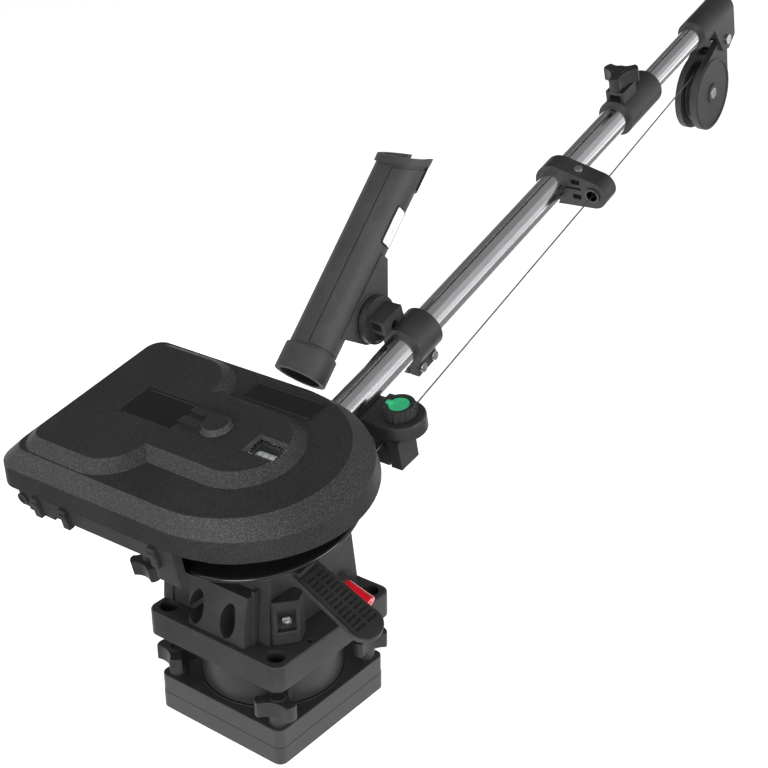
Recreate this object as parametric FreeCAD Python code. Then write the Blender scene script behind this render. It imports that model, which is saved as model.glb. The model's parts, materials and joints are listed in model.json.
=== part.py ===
"""Electric downrigger: swivel base, pedestal, covered winch and telescoping boom, in millimetres.

Origin: bottom centre of the deck plate. +Z up, +X along the boom, +Y towards the motor end of the lid.
"""
import FreeCAD
import Part

import math
import os

V = FreeCAD.Vector
X_AXIS = V(1, 0, 0)
Y_AXIS = V(0, 1, 0)
Z_AXIS = V(0, 0, 1)
ORIGIN = V(0, 0, 0)

# Tilted frames. Winch parts are drawn flat about the spool axis, boom parts along +X from the boom's root.
WINCH_TILT = 13.0
WINCH_ORIGIN = V(-5, 0, 194)
BOOM_TILT = 20.0
BOOM_Y = -20.0
BOOM_ROOT = V(78.8, BOOM_Y, 266.9)

RUN_CLEARANCE = 0.05    # radial clearance of a running fit
FREE_GAP = 0.5          # air between parts that pass each other

# Base
DECK_HALF = 75.0
DECK_CORNER = 8.0
DECK_TOP = 17.5
FLANGE_HALF = 74.7
FLANGE_TOP = 36.5
BEAD_R = 68.4
DECK_BOLT_AT = 50.0
DECK_BOLT_R = 3.5
DECK_HEAD_R = 7.0
DECK_HEAD_DEPTH = 8.0
STUD_AT = 62.0
STUD_R = 4.0
STUD_FOOT = 4.0
STUD_TOP = 56.0
STUD_BOSS_R = 9.0
STUD_BOSS_TOP = 47.0
KNOB_R = 20.0
KNOB_WAIST_R = 10.0
KNOB_HEIGHT = 15.0
PIVOT_R = 30.0
PIVOT_TOP = 90.0
PIVOT_CAP_R = 38.0
PIVOT_CAP_HEIGHT = 8.0

# Turntable
DRUM_R = 66.5
DRUM_BOTTOM = 37.2
PLATE_HALF = 80.2
PLATE_BOTTOM = 82.8
PLATE_TOP = 108.3
PLATE_CORNER = 11.0
PLATE_HOLE_AT = 65.0
PLATE_BORE_R = 9.0
PLATE_BORE_DEPTH = 14.0
PLATE_BOLT_R = 5.0
PLATE_SKIN = 6.0
DRAIN_AT = V(-30, -73, 0)
DRAIN_R = 2.5
DRAIN_DEPTH = 10.0

# Pedestal
CHEEK_RIGHT_Y = -50.0
CHEEK_LEFT_Y = 80.0
CHEEK_THICK = 12.0
CHEEK_FOOT = (-58.0, 68.0)
CHEEK_HEAD = (-46.0, 52.0)
CHEEK_HEAD_Z = 215.0
WALL_THICK = 10.0
FRONT_WALL = (-56.0, -50.0)
BACK_WALL = (54.0, 40.0)
BRIDGE_BOTTOM = -8.0
BRIDGE_TOP = 2.0
TUNNEL_Y = (-16.0, 22.0)
TUNNEL_HALF = (8.5, 18.0)
TUNNEL_Z = 128.0
TUNNEL_LEAN = 12.0
TUNNEL_BLOCK_Y = (-36.0, 31.0)
LOCK_TOP = 152.0
PIN_AT = V(42, -50, 127)
PIN_SLOPE = 20.0
PIN_R = 3.0
PIN_KNOB_R = (4.5, 6.5)
PIN_KNOB_LENGTH = 30.0

# Winch
SHAFT_R = 8.0
SPOOL_R = 95.0
SPOOL_BOTTOM = 10.0
RIM_TOP = 16.0
LINE_TOP = 30.0
LINE_R = 62.0
HUB_R = 42.0
WALL_R = 92.5
SPOOL_TOP = 48.0
DRIVE_R = 34.0
DRIVE_BOTTOM = 50.0
DRIVE_TOP = 57.0
MOTOR_AT = V(0, 140, 0)
MOTOR_PULLEY_R = 12.0
MOTOR_R = 33.0
MOTOR_SHAFT_R = 3.0
BELT_THICK = 1.6
BRACKET_BOTTOM = 59.0
BRACKET_TOP = 62.0
COUNTER_AT = V(0, -28, 0)
COUNTER_HALF = (12.0, 17.0)
COUNTER_TOP = 83.0
AXLE_R = 1.5
AXLE_UP = 73.0
WHEEL_R = 8.0
WHEEL_COUNT = 4
WINDOW_HALF = (12.2, 17.8)
WINDOW_BEVEL = 3.0
LEVER_TOP = 8.0
BLADE_AT = V(-36, -78, 1)
BLADE_HEADING = 7.0
BLADE_DROP = 21.0
BLADE_LENGTH = 88.0
BLADE_THICK = 6.0
BLADE_ROOT_HALF = 14.0
BLADE_TIP_R = 16.5
SLOT_ROWS = 12
SLOT_PITCH = 5.4
SLOT_HALF = 1.35

# Lid. A plan is its half width at the spool, its reach past the spool, its half width at the far end,
# and where that end is.
LID_AT = V(-1, 8, 0)
SKIRT_PLAN = (108.0, 128.5, 111.5, 217.0)
RIDGE_PLAN = (105.0, 127.0, 108.5, 216.0)
SHELF_PLAN = (93.0, 106.5, 94.5, 199.0)
LID_BOTTOM = 48.0
LID_RIDGE = 68.0
SHELF_Z = 82.0
PLATEAU_Z = 91.0
LID_WALL = 3.0
LID_CORNER = 24.0
SHELF_CORNER = 16.0
TONGUE_R = 42.5
TONGUE_V = -2.5
CHAMFER_RUN = 13.0
WIDE_HALF = 81.0
WIDE_END = 186.0
SHOULDER_V = 114.0
END_CORNER = 14.0
PLUG_AT = V(3, 33, 0)
PLUG_R = 15.5
PLUG_TAB = (12.0, 68.0)
PANEL_AT = V(1, 102, 0)
PANEL_HALF = (20.0, 32.0)

# Chassis
TRAY_LOW_PLAN = (107.0, 127.0, 110.0, 195.0)
TRAY_HIGH_PLAN = (102.5, 122.5, 105.5, 195.0)
TRAY_STEP = 47.5
TRAY_BOTTOM = 30.0
TRAY_NEAR = 46.0
TRAY_ARM_END = -4.0
TRAY_WALL = 4.0
TRAY_CORNER = 10.0
TRAY_RIM = 58.0
SPOOL_CLEAR_R = 99.0
TRAY_KNOB_AT = V(-92, 54, 0)
CLIP_STATIONS = (17.0, 127.0, 164.0)
BOSS_STATION = 183.0
SADDLE_HALF = 20.0
SADDLE_TOP = 52.0

# Boom
OUTER_R = 15.875
TUBE_WALL = 1.5
OUTER_LENGTH = 572.0
INNER_R = 12.7
INNER_START = 30.0
BUSH_LENGTH = 40.0
INNER_END = 764.0
COLLAR_SPAN = (526.0, 596.0)
COLLAR_R = 21.0
LOCK_AT = 545.0
LOCK_R = 4.0
LOCK_KNOB_FOOT = 35.0
HEAD_SPAN = (714.0, 790.0)
HEAD_R = 18.0
HEAD_BOLT = (767.0, -30.0)
HEAD_BOLT_R = 4.0
CLAMP_SPAN = (105.0, 141.0)
CLAMP_SCREWS = (113.0, 132.0)
EAR_HALF = 11.0
EAR_BOTTOM = -33.0
EAR_SCREW_UP = -26.0
CLAMP_R = 22.0
FAIRLEAD_SPAN = (391.0, 413.0)
FAIRLEAD_RING = (-45.0, -5.0)
RING_R = 9.0
RING_BORE_R = 6.0

# Pulley block
PULLEY_CENTRE = V(792, BOOM_Y, 438)
PULLEY_R = 45.0
SHEAVE_R = 36.0
GROOVE_R = 33.0
SHEAVE_HALF = 5.0
SIDE_THICK = 8.0
PULLEY_HALF = 14.0
EYE_R = 10.5
SHEAVE_PIN_R = 4.0
CABLE_R = 0.8
LINE_GAP = 0.3

# Rod holder
PIVOT_AT = V(176, 15, 326)
ROD_TILT = 46.8
ROD_BORE_R = 20.5
ROD_R = 23.5
ROD_SPAN = (-83.0, 159.0)
ROD_OFFSET = 28.5
ROD_Y = 26.5
TOP_SLANT = 30.0
TOP_REACH = 18.0
LIP_R = 26.0
LIP_DEPTH = 8.0
COLLAR_LENGTH = 26.0
NOTCH_SIDES = (-17.0, 11.0)
NOTCH_DEPTH = 24.0
FLANGE_DEPTH = 28.0
GROOVE_WIDTH = 1.1
GROOVE_DEPTH = 0.9
GROOVE_OFFSET = 8.0
DISC_R = 24.0
DISC_THICK = 6.0
BEAM_HALF = 15.0
GUSSET_R = 26.0
TOOTH_COUNT = 24
TOOTH_DEPTH = 2.0
PIVOT_BOLT_R = 5.0

# Switch
SWITCH_AT = V(128, -70, 0)
SWITCH_R = 23.5
SWITCH_DECK = (39.0, 54.0)
SWITCH_KNOB_R = 15.0
SWITCH_RIBS = 18
INSERT_R = 10.0
SPINDLE_R = 4.0
LINE_GUIDE_R = 3.0


def box(low, high):
    """A box between two opposite corners."""
    size = V(*high) - V(*low)
    return Part.makeBox(size.x, size.y, size.z, V(*low))


def disc(radius, bottom, top, centre=ORIGIN):
    """An upright cylinder between two heights."""
    return Part.makeCylinder(radius, top - bottom, V(centre.x, centre.y, bottom))


def rod(radius, start, end):
    """A cylinder between two points."""
    return Part.makeCylinder(radius, (end - start).Length, start, end - start)


def prism(points, start, vector):
    """A polygon, whose points already lie at the start, pushed along a vector."""
    corners = [V(*point) + start for point in points]
    return Part.Face(Part.makePolygon(corners + corners[:1])).extrude(vector)


def rounded_block(half_x, half_y, bottom, top, radius):
    """A block centred on the origin, with rounded upright edges."""
    block = box((-half_x, -half_y, bottom), (half_x, half_y, top))
    uprights = [edge for edge in block.Edges if abs(edge.tangentAt(edge.FirstParameter).z) > 0.9]
    return block.makeFillet(radius, uprights)


def soften_top(shape, height, radius):
    """Round every edge that lies flat at one height."""
    edges = [edge for edge in shape.Edges
             if abs(edge.BoundBox.ZMin - height) < 0.01 and abs(edge.BoundBox.ZMax - height) < 0.01]
    return shape.makeFillet(radius, edges)


def capsule(start, end, start_r, end_r, low, high):
    """The outline round two circles in the YZ plane, pushed along X from low to high."""
    first = Part.makeCylinder(start_r, high - low, V(low, *start), X_AXIS)
    second = Part.makeCylinder(end_r, high - low, V(low, *end), X_AXIS)
    across = V(0, end[0] - start[0], end[1] - start[1])
    lean = math.asin((start_r - end_r) / across.Length)
    heading = math.atan2(across.z, across.y)
    corners = []
    for side in (1, -1):
        angle = heading + side * (math.pi / 2 - lean)
        normal = (math.cos(angle), math.sin(angle))
        ends = [(0, start[0] + start_r * normal[0], start[1] + start_r * normal[1]),
                (0, end[0] + end_r * normal[0], end[1] + end_r * normal[1])]
        corners += ends if side > 0 else ends[::-1]
    web = prism(corners, V(low, 0, 0), V(high - low, 0, 0))
    return first.fuse([second, web]).removeSplitter()


def knob_outline(tip_r, waist_r, height, tip_half_angle=17):
    """A three-lobed knob: convex lobe ends joined by concave sides."""
    def polar(radius, degrees):
        turn = math.radians(degrees)
        return V(radius * math.cos(turn), radius * math.sin(turn), 0)
    edges = []
    for lobe in range(3):
        middle = 120 * lobe
        near, far = polar(tip_r, middle - tip_half_angle), polar(tip_r, middle + tip_half_angle)
        following = polar(tip_r, middle + 120 - tip_half_angle)
        edges.append(Part.Arc(near, polar(tip_r + 1.0, middle), far).toShape())
        edges.append(Part.Arc(far, polar(waist_r, middle + 60), following).toShape())
    return Part.Face(Part.Wire(edges)).extrude(V(0, 0, height))


def lobe_knob(bore_r, tip_r=KNOB_R, waist_r=KNOB_WAIST_R, height=KNOB_HEIGHT):
    """A clamp knob standing on Z = 0, with a hub ring on top and a blind bore from below."""
    knob = knob_outline(tip_r, waist_r, height)
    knob = soften_top(knob, height, 1.2)
    hub = disc(waist_r - 2.0, height - 1.0, height + 1.5)
    dish = disc(waist_r - 4.0, height + 0.5, height + 2.0)
    bore = disc(bore_r, -1.0, height - 4.0)
    return knob.fuse(hub).cut(dish).cut(bore)


def lay(shape, origin, tilt):
    """Set a shape down in a frame tilted up about Y."""
    placed = shape.copy()
    placed.Placement = FreeCAD.Placement(origin, FreeCAD.Rotation(Y_AXIS, -tilt)).multiply(shape.Placement)
    return placed


def on_winch(shape):
    return lay(shape, WINCH_ORIGIN, WINCH_TILT)


def on_boom(shape):
    return lay(shape, BOOM_ROOT, BOOM_TILT)


def on_rod_holder(shape):
    return lay(shape, PIVOT_AT, ROD_TILT)


def winch_point(point):
    """Where a point drawn in the winch frame ends up."""
    return FreeCAD.Placement(WINCH_ORIGIN, FreeCAD.Rotation(Y_AXIS, -WINCH_TILT)).multVec(point)


def boom_point(point):
    """Where a point drawn in the boom frame ends up."""
    return FreeCAD.Placement(BOOM_ROOT, FreeCAD.Rotation(Y_AXIS, -BOOM_TILT)).multVec(point)


def corners(distance):
    return [V(sx * distance, sy * distance, 0) for sx, sy in ((-1, -1), (1, -1), (1, 1), (-1, 1))]


# Base ---------------------------------------------------------------------------------------------

def deck_plate():
    """The plate that bolts to the deck, with sunk bolt heads and tapped holes for the studs."""
    plate = rounded_block(DECK_HALF, DECK_HALF, 0, DECK_TOP, DECK_CORNER)
    for at in corners(DECK_BOLT_AT):
        plate = plate.cut(disc(DECK_BOLT_R, -1, DECK_TOP + 1, at))
        plate = plate.cut(disc(DECK_HEAD_R, DECK_TOP - DECK_HEAD_DEPTH, DECK_TOP + 1, at))
    for at in corners(STUD_AT):
        plate = plate.cut(disc(STUD_R, STUD_FOOT, DECK_TOP + 1, at))
    return plate


def swivel_flange():
    """The upper layer of the base, with the bead round the drum and a boss for each stud."""
    flange = rounded_block(FLANGE_HALF, FLANGE_HALF, DECK_TOP, FLANGE_TOP, DECK_CORNER)
    flange = soften_top(flange, FLANGE_TOP, 1.0)
    bead = disc(BEAD_R, FLANGE_TOP - 1, FLANGE_TOP + 0.9).cut(disc(BEAD_R - 1.2, 0, FLANGE_TOP + 2))
    flange = flange.fuse(bead)
    for at in corners(STUD_AT):
        flange = flange.fuse(disc(STUD_BOSS_R, FLANGE_TOP - 1, STUD_BOSS_TOP, at))
        flange = flange.cut(disc(STUD_R, DECK_TOP - 1, STUD_BOSS_TOP + 1, at))
    return flange


def pivot_post():
    """The post that the drum turns on, with the wide cap that keeps the drum down."""
    cap = disc(PIVOT_CAP_R, PIVOT_TOP, PIVOT_TOP + PIVOT_CAP_HEIGHT)
    return disc(PIVOT_R, FLANGE_TOP, PIVOT_TOP).fuse(cap)


def clamp_studs():
    return Part.makeCompound([disc(STUD_R, STUD_FOOT, STUD_TOP, at) for at in corners(STUD_AT)])


def clamp_knob(at, turn):
    knob = lobe_knob(STUD_R + RUN_CLEARANCE)
    knob.rotate(ORIGIN, Z_AXIS, turn)
    knob.translate(V(at.x, at.y, STUD_BOSS_TOP + FREE_GAP))
    return knob


# Turntable and pedestal ---------------------------------------------------------------------------

def swivel_drum():
    drum = disc(DRUM_R, DRUM_BOTTOM, PLATE_BOTTOM)
    return drum.cut(disc(PIVOT_R + RUN_CLEARANCE, 0, PIVOT_TOP))


def swivel_plate():
    """The square plate on the drum, with sunk corner holes and a pocket for the nut."""
    plate = rounded_block(PLATE_HALF, PLATE_HALF, PLATE_BOTTOM, PLATE_TOP, PLATE_CORNER)
    plate = soften_top(plate, PLATE_TOP, 2.0)
    for at in corners(PLATE_HOLE_AT):
        plate = plate.cut(disc(PLATE_BOLT_R, PLATE_BOTTOM - 1, PLATE_TOP + 1, at))
        plate = plate.cut(disc(PLATE_BORE_R, PLATE_TOP - PLATE_BORE_DEPTH, PLATE_TOP + 1, at))
    plate = plate.cut(disc(PIVOT_R + RUN_CLEARANCE, PLATE_BOTTOM - 1, PIVOT_TOP))
    plate = plate.cut(disc(PIVOT_CAP_R + 1, PIVOT_TOP - FREE_GAP, PLATE_TOP - PLATE_SKIN))
    return plate.cut(disc(DRAIN_R, PLATE_TOP - DRAIN_DEPTH, PLATE_TOP + 1, DRAIN_AT))


def below_bridge(shape):
    """Trim a pedestal wall where the winch's bridge plate rests on it."""
    above = box((-300, -300, BRIDGE_BOTTOM), (300, 300, 300))
    return shape.cut(on_winch(above))


def cheek(face_y, inward):
    """A tapered side wall of the pedestal."""
    outline = [(CHEEK_FOOT[0], 0, PLATE_TOP), (CHEEK_FOOT[1], 0, PLATE_TOP),
               (CHEEK_HEAD[1], 0, CHEEK_HEAD_Z), (CHEEK_HEAD[0], 0, CHEEK_HEAD_Z)]
    wall = prism(outline, V(0, face_y, 0), V(0, inward * CHEEK_THICK, 0))
    return below_bridge(wall)


def pin_direction():
    slope = math.radians(PIN_SLOPE)
    return V(0, -math.cos(slope), -math.sin(slope))


def left_cheek():
    return cheek(CHEEK_LEFT_Y, -1)


def pedestal_walls():
    """The front and back walls between the cheeks."""
    return Part.makeCompound([end_wall(*FRONT_WALL), end_wall(*BACK_WALL)])


def right_cheek():
    """The cheek on the lever's side, with the sloping guide of the lock pin."""
    along = pin_direction()
    wall = cheek(CHEEK_RIGHT_Y, 1)
    guide = rod(8.0, PIN_AT - along * 14, PIN_AT + along * 6)
    return wall.fuse(guide).cut(rod(PIN_R + RUN_CLEARANCE, PIN_AT - along * 40, PIN_AT + along * 20))


def end_wall(foot_x, head_x):
    """A wall that joins the cheeks, leaning in the same way as their edges."""
    low, high = CHEEK_RIGHT_Y + CHEEK_THICK, CHEEK_LEFT_Y - CHEEK_THICK
    outline = [(foot_x, 0, PLATE_TOP), (foot_x + WALL_THICK, 0, PLATE_TOP),
               (head_x + WALL_THICK, 0, CHEEK_HEAD_Z), (head_x, 0, CHEEK_HEAD_Z)]
    return below_bridge(prism(outline, V(0, low, 0), V(0, high - low, 0)))


def front_face_x(height):
    """Where the front wall's face is at a height."""
    share = (height - PLATE_TOP) / (CHEEK_HEAD_Z - PLATE_TOP)
    return FRONT_WALL[0] + share * (FRONT_WALL[1] - FRONT_WALL[0])


def tunnel_block():
    """The rounded block on the pedestal's front, with two tall oval tunnels."""
    outline = [(front_face_x(PLATE_TOP), 0, PLATE_TOP), (-74, 0, PLATE_TOP), (-72, 0, 132), (-66, 0, 156),
               (front_face_x(156), 0, 156)]
    block = prism(outline, V(0, TUNNEL_BLOCK_Y[0], 0), V(0, TUNNEL_BLOCK_Y[1] - TUNNEL_BLOCK_Y[0], 0))
    for tunnel_y in TUNNEL_Y:
        oval = Part.Ellipse(ORIGIN, TUNNEL_HALF[1], TUNNEL_HALF[0]).toShape()
        cutter = Part.Face(Part.Wire(oval)).extrude(V(0, 0, 40))
        cutter.rotate(ORIGIN, Y_AXIS, 90)
        cutter.rotate(ORIGIN, X_AXIS, TUNNEL_LEAN)
        cutter.translate(V(-90, tunnel_y, TUNNEL_Z))
        block = block.cut(cutter)
    return block.fuse(web_fin())


def web_fin():
    """The thin upright fin beside the block."""
    outline = [(front_face_x(PLATE_TOP), 0, PLATE_TOP), (-66, 0, PLATE_TOP), (-60, 0, 160),
               (front_face_x(160), 0, 160)]
    return prism(outline, V(0, -38, 0), V(0, 3, 0))


def lock_block():
    """The angular block at the pedestal's corner, with a sunk square panel on its outer face."""
    plan = [(-54, -54, 0), (-36, -68, 0), (-22, -62, 0), (-22, -50.5, 0), (-54, -50.5, 0)]
    block = prism(plan, V(0, 0, PLATE_TOP), V(0, 0, LOCK_TOP - PLATE_TOP))
    panel = box((-8, -1.5, -11), (8, 4, 11))
    panel.rotate(ORIGIN, Z_AXIS, math.degrees(math.atan2(-14, 18)))
    panel.translate(lock_face_centre() - lock_face_normal() * 1.5)
    return block.cut(panel)


def lock_face_normal():
    return V(-14, -18, 0).normalize()


def lock_face_centre():
    return V(-45, -61, 132)


def lock_pin():
    """The pull pin's steel shaft."""
    along = pin_direction()
    return rod(PIN_R, PIN_AT - along * 22, PIN_AT + along * 12)


def lock_pin_knob():
    """The red knob, wider towards its outer end."""
    along = pin_direction()
    start = PIN_AT + along * 7
    knob = Part.makeCone(PIN_KNOB_R[0], PIN_KNOB_R[1], PIN_KNOB_LENGTH, start, along)
    knob = knob.cut(rod(PIN_R, start, PIN_AT + along * 12))
    return knob.cut(rod(1.5, start + along * (PIN_KNOB_LENGTH - 4), start + along * (PIN_KNOB_LENGTH + 1)))


# Winch --------------------------------------------------------------------------------------------

def bridge_plate():
    """The plate that carries the winch on the pedestal."""
    plate = box((-58, -52, BRIDGE_BOTTOM), (96, 92, BRIDGE_TOP))
    uprights = [edge for edge in plate.Edges if abs(edge.tangentAt(edge.FirstParameter).z) > 0.9]
    plate = plate.makeFillet(10, uprights).fuse(Part.makeCone(64, 72, 5, V(0, 0, BRIDGE_TOP - 5)))
    return plate.removeSplitter().cut(disc(SHAFT_R, -20, 20))


def spool_shaft():
    return disc(SHAFT_R, BRIDGE_BOTTOM, BRACKET_BOTTOM)


def spool():
    """The reel: a rim flange, the hub that the line winds on, and a deep upper wall."""
    bore_r = SHAFT_R + RUN_CLEARANCE
    profile = [(bore_r, SPOOL_BOTTOM), (SPOOL_R - 6, SPOOL_BOTTOM), (SPOOL_R, SPOOL_BOTTOM + 2),
               (SPOOL_R, RIM_TOP - 1.5), (SPOOL_R - 2, RIM_TOP), (HUB_R, RIM_TOP), (HUB_R, LINE_TOP),
               (WALL_R - 1, LINE_TOP), (WALL_R, LINE_TOP + 1), (WALL_R, SPOOL_TOP - 2),
               (WALL_R - 2, SPOOL_TOP), (bore_r, SPOOL_TOP)]
    outline = [V(r, 0, z) for r, z in profile]
    return Part.Face(Part.makePolygon(outline + outline[:1])).revolve(ORIGIN, Z_AXIS, 360)


def line_winding():
    """The wound line as one ring."""
    return disc(LINE_R, RIM_TOP, LINE_TOP).cut(disc(HUB_R, RIM_TOP - 1, LINE_TOP + 1))


def belt_wheel(radius, bore_r):
    """A belt pulley with a flange at each side of the belt."""
    wheel = disc(radius, DRIVE_BOTTOM, DRIVE_TOP)
    flange = disc(radius + 3, 0, 1)
    low, high = flange.copy(), flange.copy()
    low.translate(V(0, 0, DRIVE_BOTTOM - 1))
    high.translate(V(0, 0, DRIVE_TOP))
    return wheel.fuse([low, high]).cut(disc(bore_r, 0, 100))


def spool_pulley():
    wheel = belt_wheel(DRIVE_R, SHAFT_R + RUN_CLEARANCE)
    return wheel.fuse(disc(20, SPOOL_TOP, DRIVE_BOTTOM).cut(disc(SHAFT_R + RUN_CLEARANCE, 0, 100)))


def motor_pulley():
    """The motor's small belt pulley with its shaft."""
    wheel = belt_wheel(MOTOR_PULLEY_R, MOTOR_SHAFT_R)
    wheel.translate(MOTOR_AT)
    return wheel.fuse(disc(MOTOR_SHAFT_R, DRIVE_BOTTOM - 1, BRACKET_TOP + 8, MOTOR_AT)).removeSplitter()


def drive_belt():
    """The flat belt round both pulleys, held a hair off each."""
    def loop(extra):
        big, small = DRIVE_R + extra, MOTOR_PULLEY_R + extra
        lean = math.asin((big - small) / MOTOR_AT.y)
        cos, sin = math.cos(lean), math.sin(lean)
        right = [V(big * cos, big * sin, 0), V(small * cos, MOTOR_AT.y + small * sin, 0)]
        left = [V(-point.x, point.y, 0) for point in right]
        edges = [Part.makeLine(right[0], right[1]),
                 Part.Arc(right[1], V(0, MOTOR_AT.y + small, 0), left[1]).toShape(),
                 Part.makeLine(left[1], left[0]),
                 Part.Arc(left[0], V(0, -big, 0), right[0]).toShape()]
        return Part.Face(Part.Wire(edges)).extrude(V(0, 0, DRIVE_TOP - DRIVE_BOTTOM - 1))
    belt = loop(0.3 + BELT_THICK).cut(loop(0.3))
    belt.translate(V(0, 0, DRIVE_BOTTOM + 0.5))
    return belt


def winch_bracket():
    """The plate over the spool that holds the shaft's top, the motor and the counter."""
    plate = box((-44, 92, BRACKET_BOTTOM), (44, 186, BRACKET_TOP))
    arm = box((-28, -50, BRACKET_BOTTOM), (12, 93, BRACKET_TOP))
    low = TRAY_BOTTOM + TRAY_WALL
    legs = [box((sx * 44 - 4, 150, low), (sx * 44 + 4, 186, BRACKET_BOTTOM)) for sx in (-1, 1)]
    return plate.fuse([arm] + legs).cut(disc(MOTOR_SHAFT_R + RUN_CLEARANCE, 0, 100, MOTOR_AT))


def motor():
    """The flat gear motor."""
    can = disc(MOTOR_R, BRACKET_TOP, PLATEAU_Z - 5, MOTOR_AT)
    can = soften_top(can, PLATEAU_Z - 5, 2)
    return can.cut(disc(MOTOR_SHAFT_R + RUN_CLEARANCE, 0, BRACKET_TOP + 8.5, MOTOR_AT))


def counter_case():
    """The counter's open-topped case, with the wheels' axle."""
    half_u, half_v = COUNTER_HALF
    case = box((-half_u, -half_v, BRACKET_TOP), (half_u, half_v, COUNTER_TOP))
    case = case.cut(box((-half_u + 2, -half_v + 2, BRACKET_TOP + 1.5), (half_u - 2, half_v - 2, 90)))
    axle = Part.makeCylinder(AXLE_R, 2 * half_v, V(0, -half_v, AXLE_UP), Y_AXIS)
    case = case.fuse(axle)
    case.translate(COUNTER_AT)
    return case


def counter_wheels():
    """The number wheels, side by side on one sleeve."""
    half = COUNTER_HALF[1] - 3
    pitch = 2 * half / WHEEL_COUNT
    start = COUNTER_AT + V(0, -half, AXLE_UP)
    wheels = Part.makeCylinder(WHEEL_R - 1, 2 * half, start, Y_AXIS)
    for step in range(WHEEL_COUNT):
        wheel = Part.makeCylinder(WHEEL_R, pitch - 1, start + V(0, pitch * step + 0.5, 0), Y_AXIS)
        wheels = wheels.fuse(wheel)
    return wheels.cut(Part.makeCylinder(AXLE_R + RUN_CLEARANCE, 40, start - V(0, 5, 0), Y_AXIS))


def lid_outline(plan, inset, corner, height):
    """The lid's plan: half an ellipse about the spool, nearly straight sides, two rounded far corners."""
    half, reach, far_half, end = [value - inset for value in plan]
    end -= LID_AT.y
    ellipse = Part.Ellipse(V(0, -reach, 0), V(half, 0, 0), ORIGIN)
    nose = Part.ArcOfEllipse(ellipse, -math.pi / 2, math.pi / 2).toShape()
    left, right = sorted((vertex.Point for vertex in nose.Vertexes), key=lambda point: point.x)
    chord = corner * (1 - math.sqrt(0.5))
    edges = [nose,
             Part.makeLine(right, V(far_half, end - corner, 0)),
             Part.Arc(V(far_half, end - corner, 0), V(far_half - chord, end - chord, 0),
                      V(far_half - corner, end, 0)).toShape(),
             Part.makeLine(V(far_half - corner, end, 0), V(corner - far_half, end, 0)),
             Part.Arc(V(corner - far_half, end, 0), V(chord - far_half, end - chord, 0),
                      V(-far_half, end - corner, 0)).toShape(),
             Part.makeLine(V(-far_half, end - corner, 0), left)]
    wire = Part.Wire(edges)
    wire.translate(LID_AT + V(0, 0, height))
    return wire


def lid_body(inset):
    """The lid's skirt and its sloping shoulder, drawn in by a wall's thickness for the inside."""
    return Part.makeLoft([lid_outline(SKIRT_PLAN, inset, LID_CORNER, LID_BOTTOM),
                          lid_outline(RIDGE_PLAN, inset, LID_CORNER, LID_RIDGE - inset / 2),
                          lid_outline(SHELF_PLAN, inset, SHELF_CORNER, SHELF_Z - inset)], True, True)


def plateau_outline(grow, height):
    """The raised middle: a wide block with round shoulders and a round-ended tongue over the spool."""
    shoulder = WIDE_HALF - TONGUE_R + grow
    side, wide, end = TONGUE_R + grow, WIDE_HALF + grow, WIDE_END + grow
    corner = END_CORNER + grow
    crease = SHOULDER_V - math.sqrt(shoulder * shoulder - grow * grow)
    middle = math.sqrt(0.5)
    chord = corner * (1 - middle)
    edges = []
    for sign in (1, -1):
        def at(x, y):
            return V(sign * x, y, 0)
        half = [Part.makeLine(at(side, TONGUE_V), at(side, crease)),
                Part.Arc(at(side, crease), at(TONGUE_R + shoulder * middle, SHOULDER_V - shoulder * middle),
                         at(wide, SHOULDER_V)).toShape(),
                Part.makeLine(at(wide, SHOULDER_V), at(wide, end - corner)),
                Part.Arc(at(wide, end - corner), at(wide - chord, end - chord),
                         at(wide - corner, end)).toShape()]
        edges += half if sign > 0 else half[::-1]
        if sign > 0:
            edges.append(Part.makeLine(V(wide - corner, end, 0), V(corner - wide, end, 0)))
    edges.append(Part.Arc(V(-side, TONGUE_V, 0), V(0, TONGUE_V - side, 0), V(side, TONGUE_V, 0)).toShape())
    wire = Part.Wire(edges)
    wire.translate(V(LID_AT.x, 0, height))
    return wire


def plateau(inset):
    low = plateau_outline(CHAMFER_RUN - inset, SHELF_Z - 1 - inset)
    high = plateau_outline(-inset, PLATEAU_Z - inset)
    return Part.makeLoft([low, high], True, True)


def boom_notch():
    """The space that the boom's root needs through the lid's skirt."""
    start, end = boom_point(V(-40, 0, 0)), boom_point(V(80, 0, 0))
    round_part = rod(OUTER_R + 2, start, end)
    half = SADDLE_HALF + 1
    slot = box((92, BOOM_Y - half, LID_BOTTOM - 10), (130, BOOM_Y + half, SADDLE_TOP + 1.5))
    return round_part.fuse(on_winch(slot))


def lid():
    """The winch cover: a hollow shell with a window, a port for the crank plug and a notch for the boom."""
    shell = lid_body(0).fuse(plateau(0))
    shell = shell.cut(lid_body(LID_WALL)).cut(plateau(LID_WALL))
    bevel = Part.makeLoft([window_wire(WINDOW_BEVEL, PLATEAU_Z - 4),
                           window_wire(-0.5, PLATEAU_Z + 0.5)], True)
    bevel.translate(COUNTER_AT)
    shell = shell.cut(bevel)
    shell = shell.cut(disc(PLUG_R - 4, PLATEAU_Z - 10, PLATEAU_Z + 1, PLUG_AT))
    half_u, half_v = PANEL_HALF
    panel = box((-half_u, -half_v, PLATEAU_Z - 1.2), (half_u, half_v, PLATEAU_Z + 1))
    panel.translate(PANEL_AT)
    return on_winch(shell.cut(panel)).cut(boom_notch())


def window_wire(inset, height):
    half_u, half_v = [half - inset for half in WINDOW_HALF]
    points = [V(-half_u, -half_v, height), V(half_u, -half_v, height), V(half_u, half_v, height),
              V(-half_u, half_v, height)]
    return Part.makePolygon(points + points[:1])


def window_pane():
    """The clear pane at the bottom of the window's bevel."""
    half_u, half_v = [half - WINDOW_BEVEL - 0.2 for half in WINDOW_HALF]
    pane = box((-half_u, -half_v, PLATEAU_Z - 3.8), (half_u, half_v, PLATEAU_Z - 2.6))
    pane.translate(COUNTER_AT)
    return pane


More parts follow.
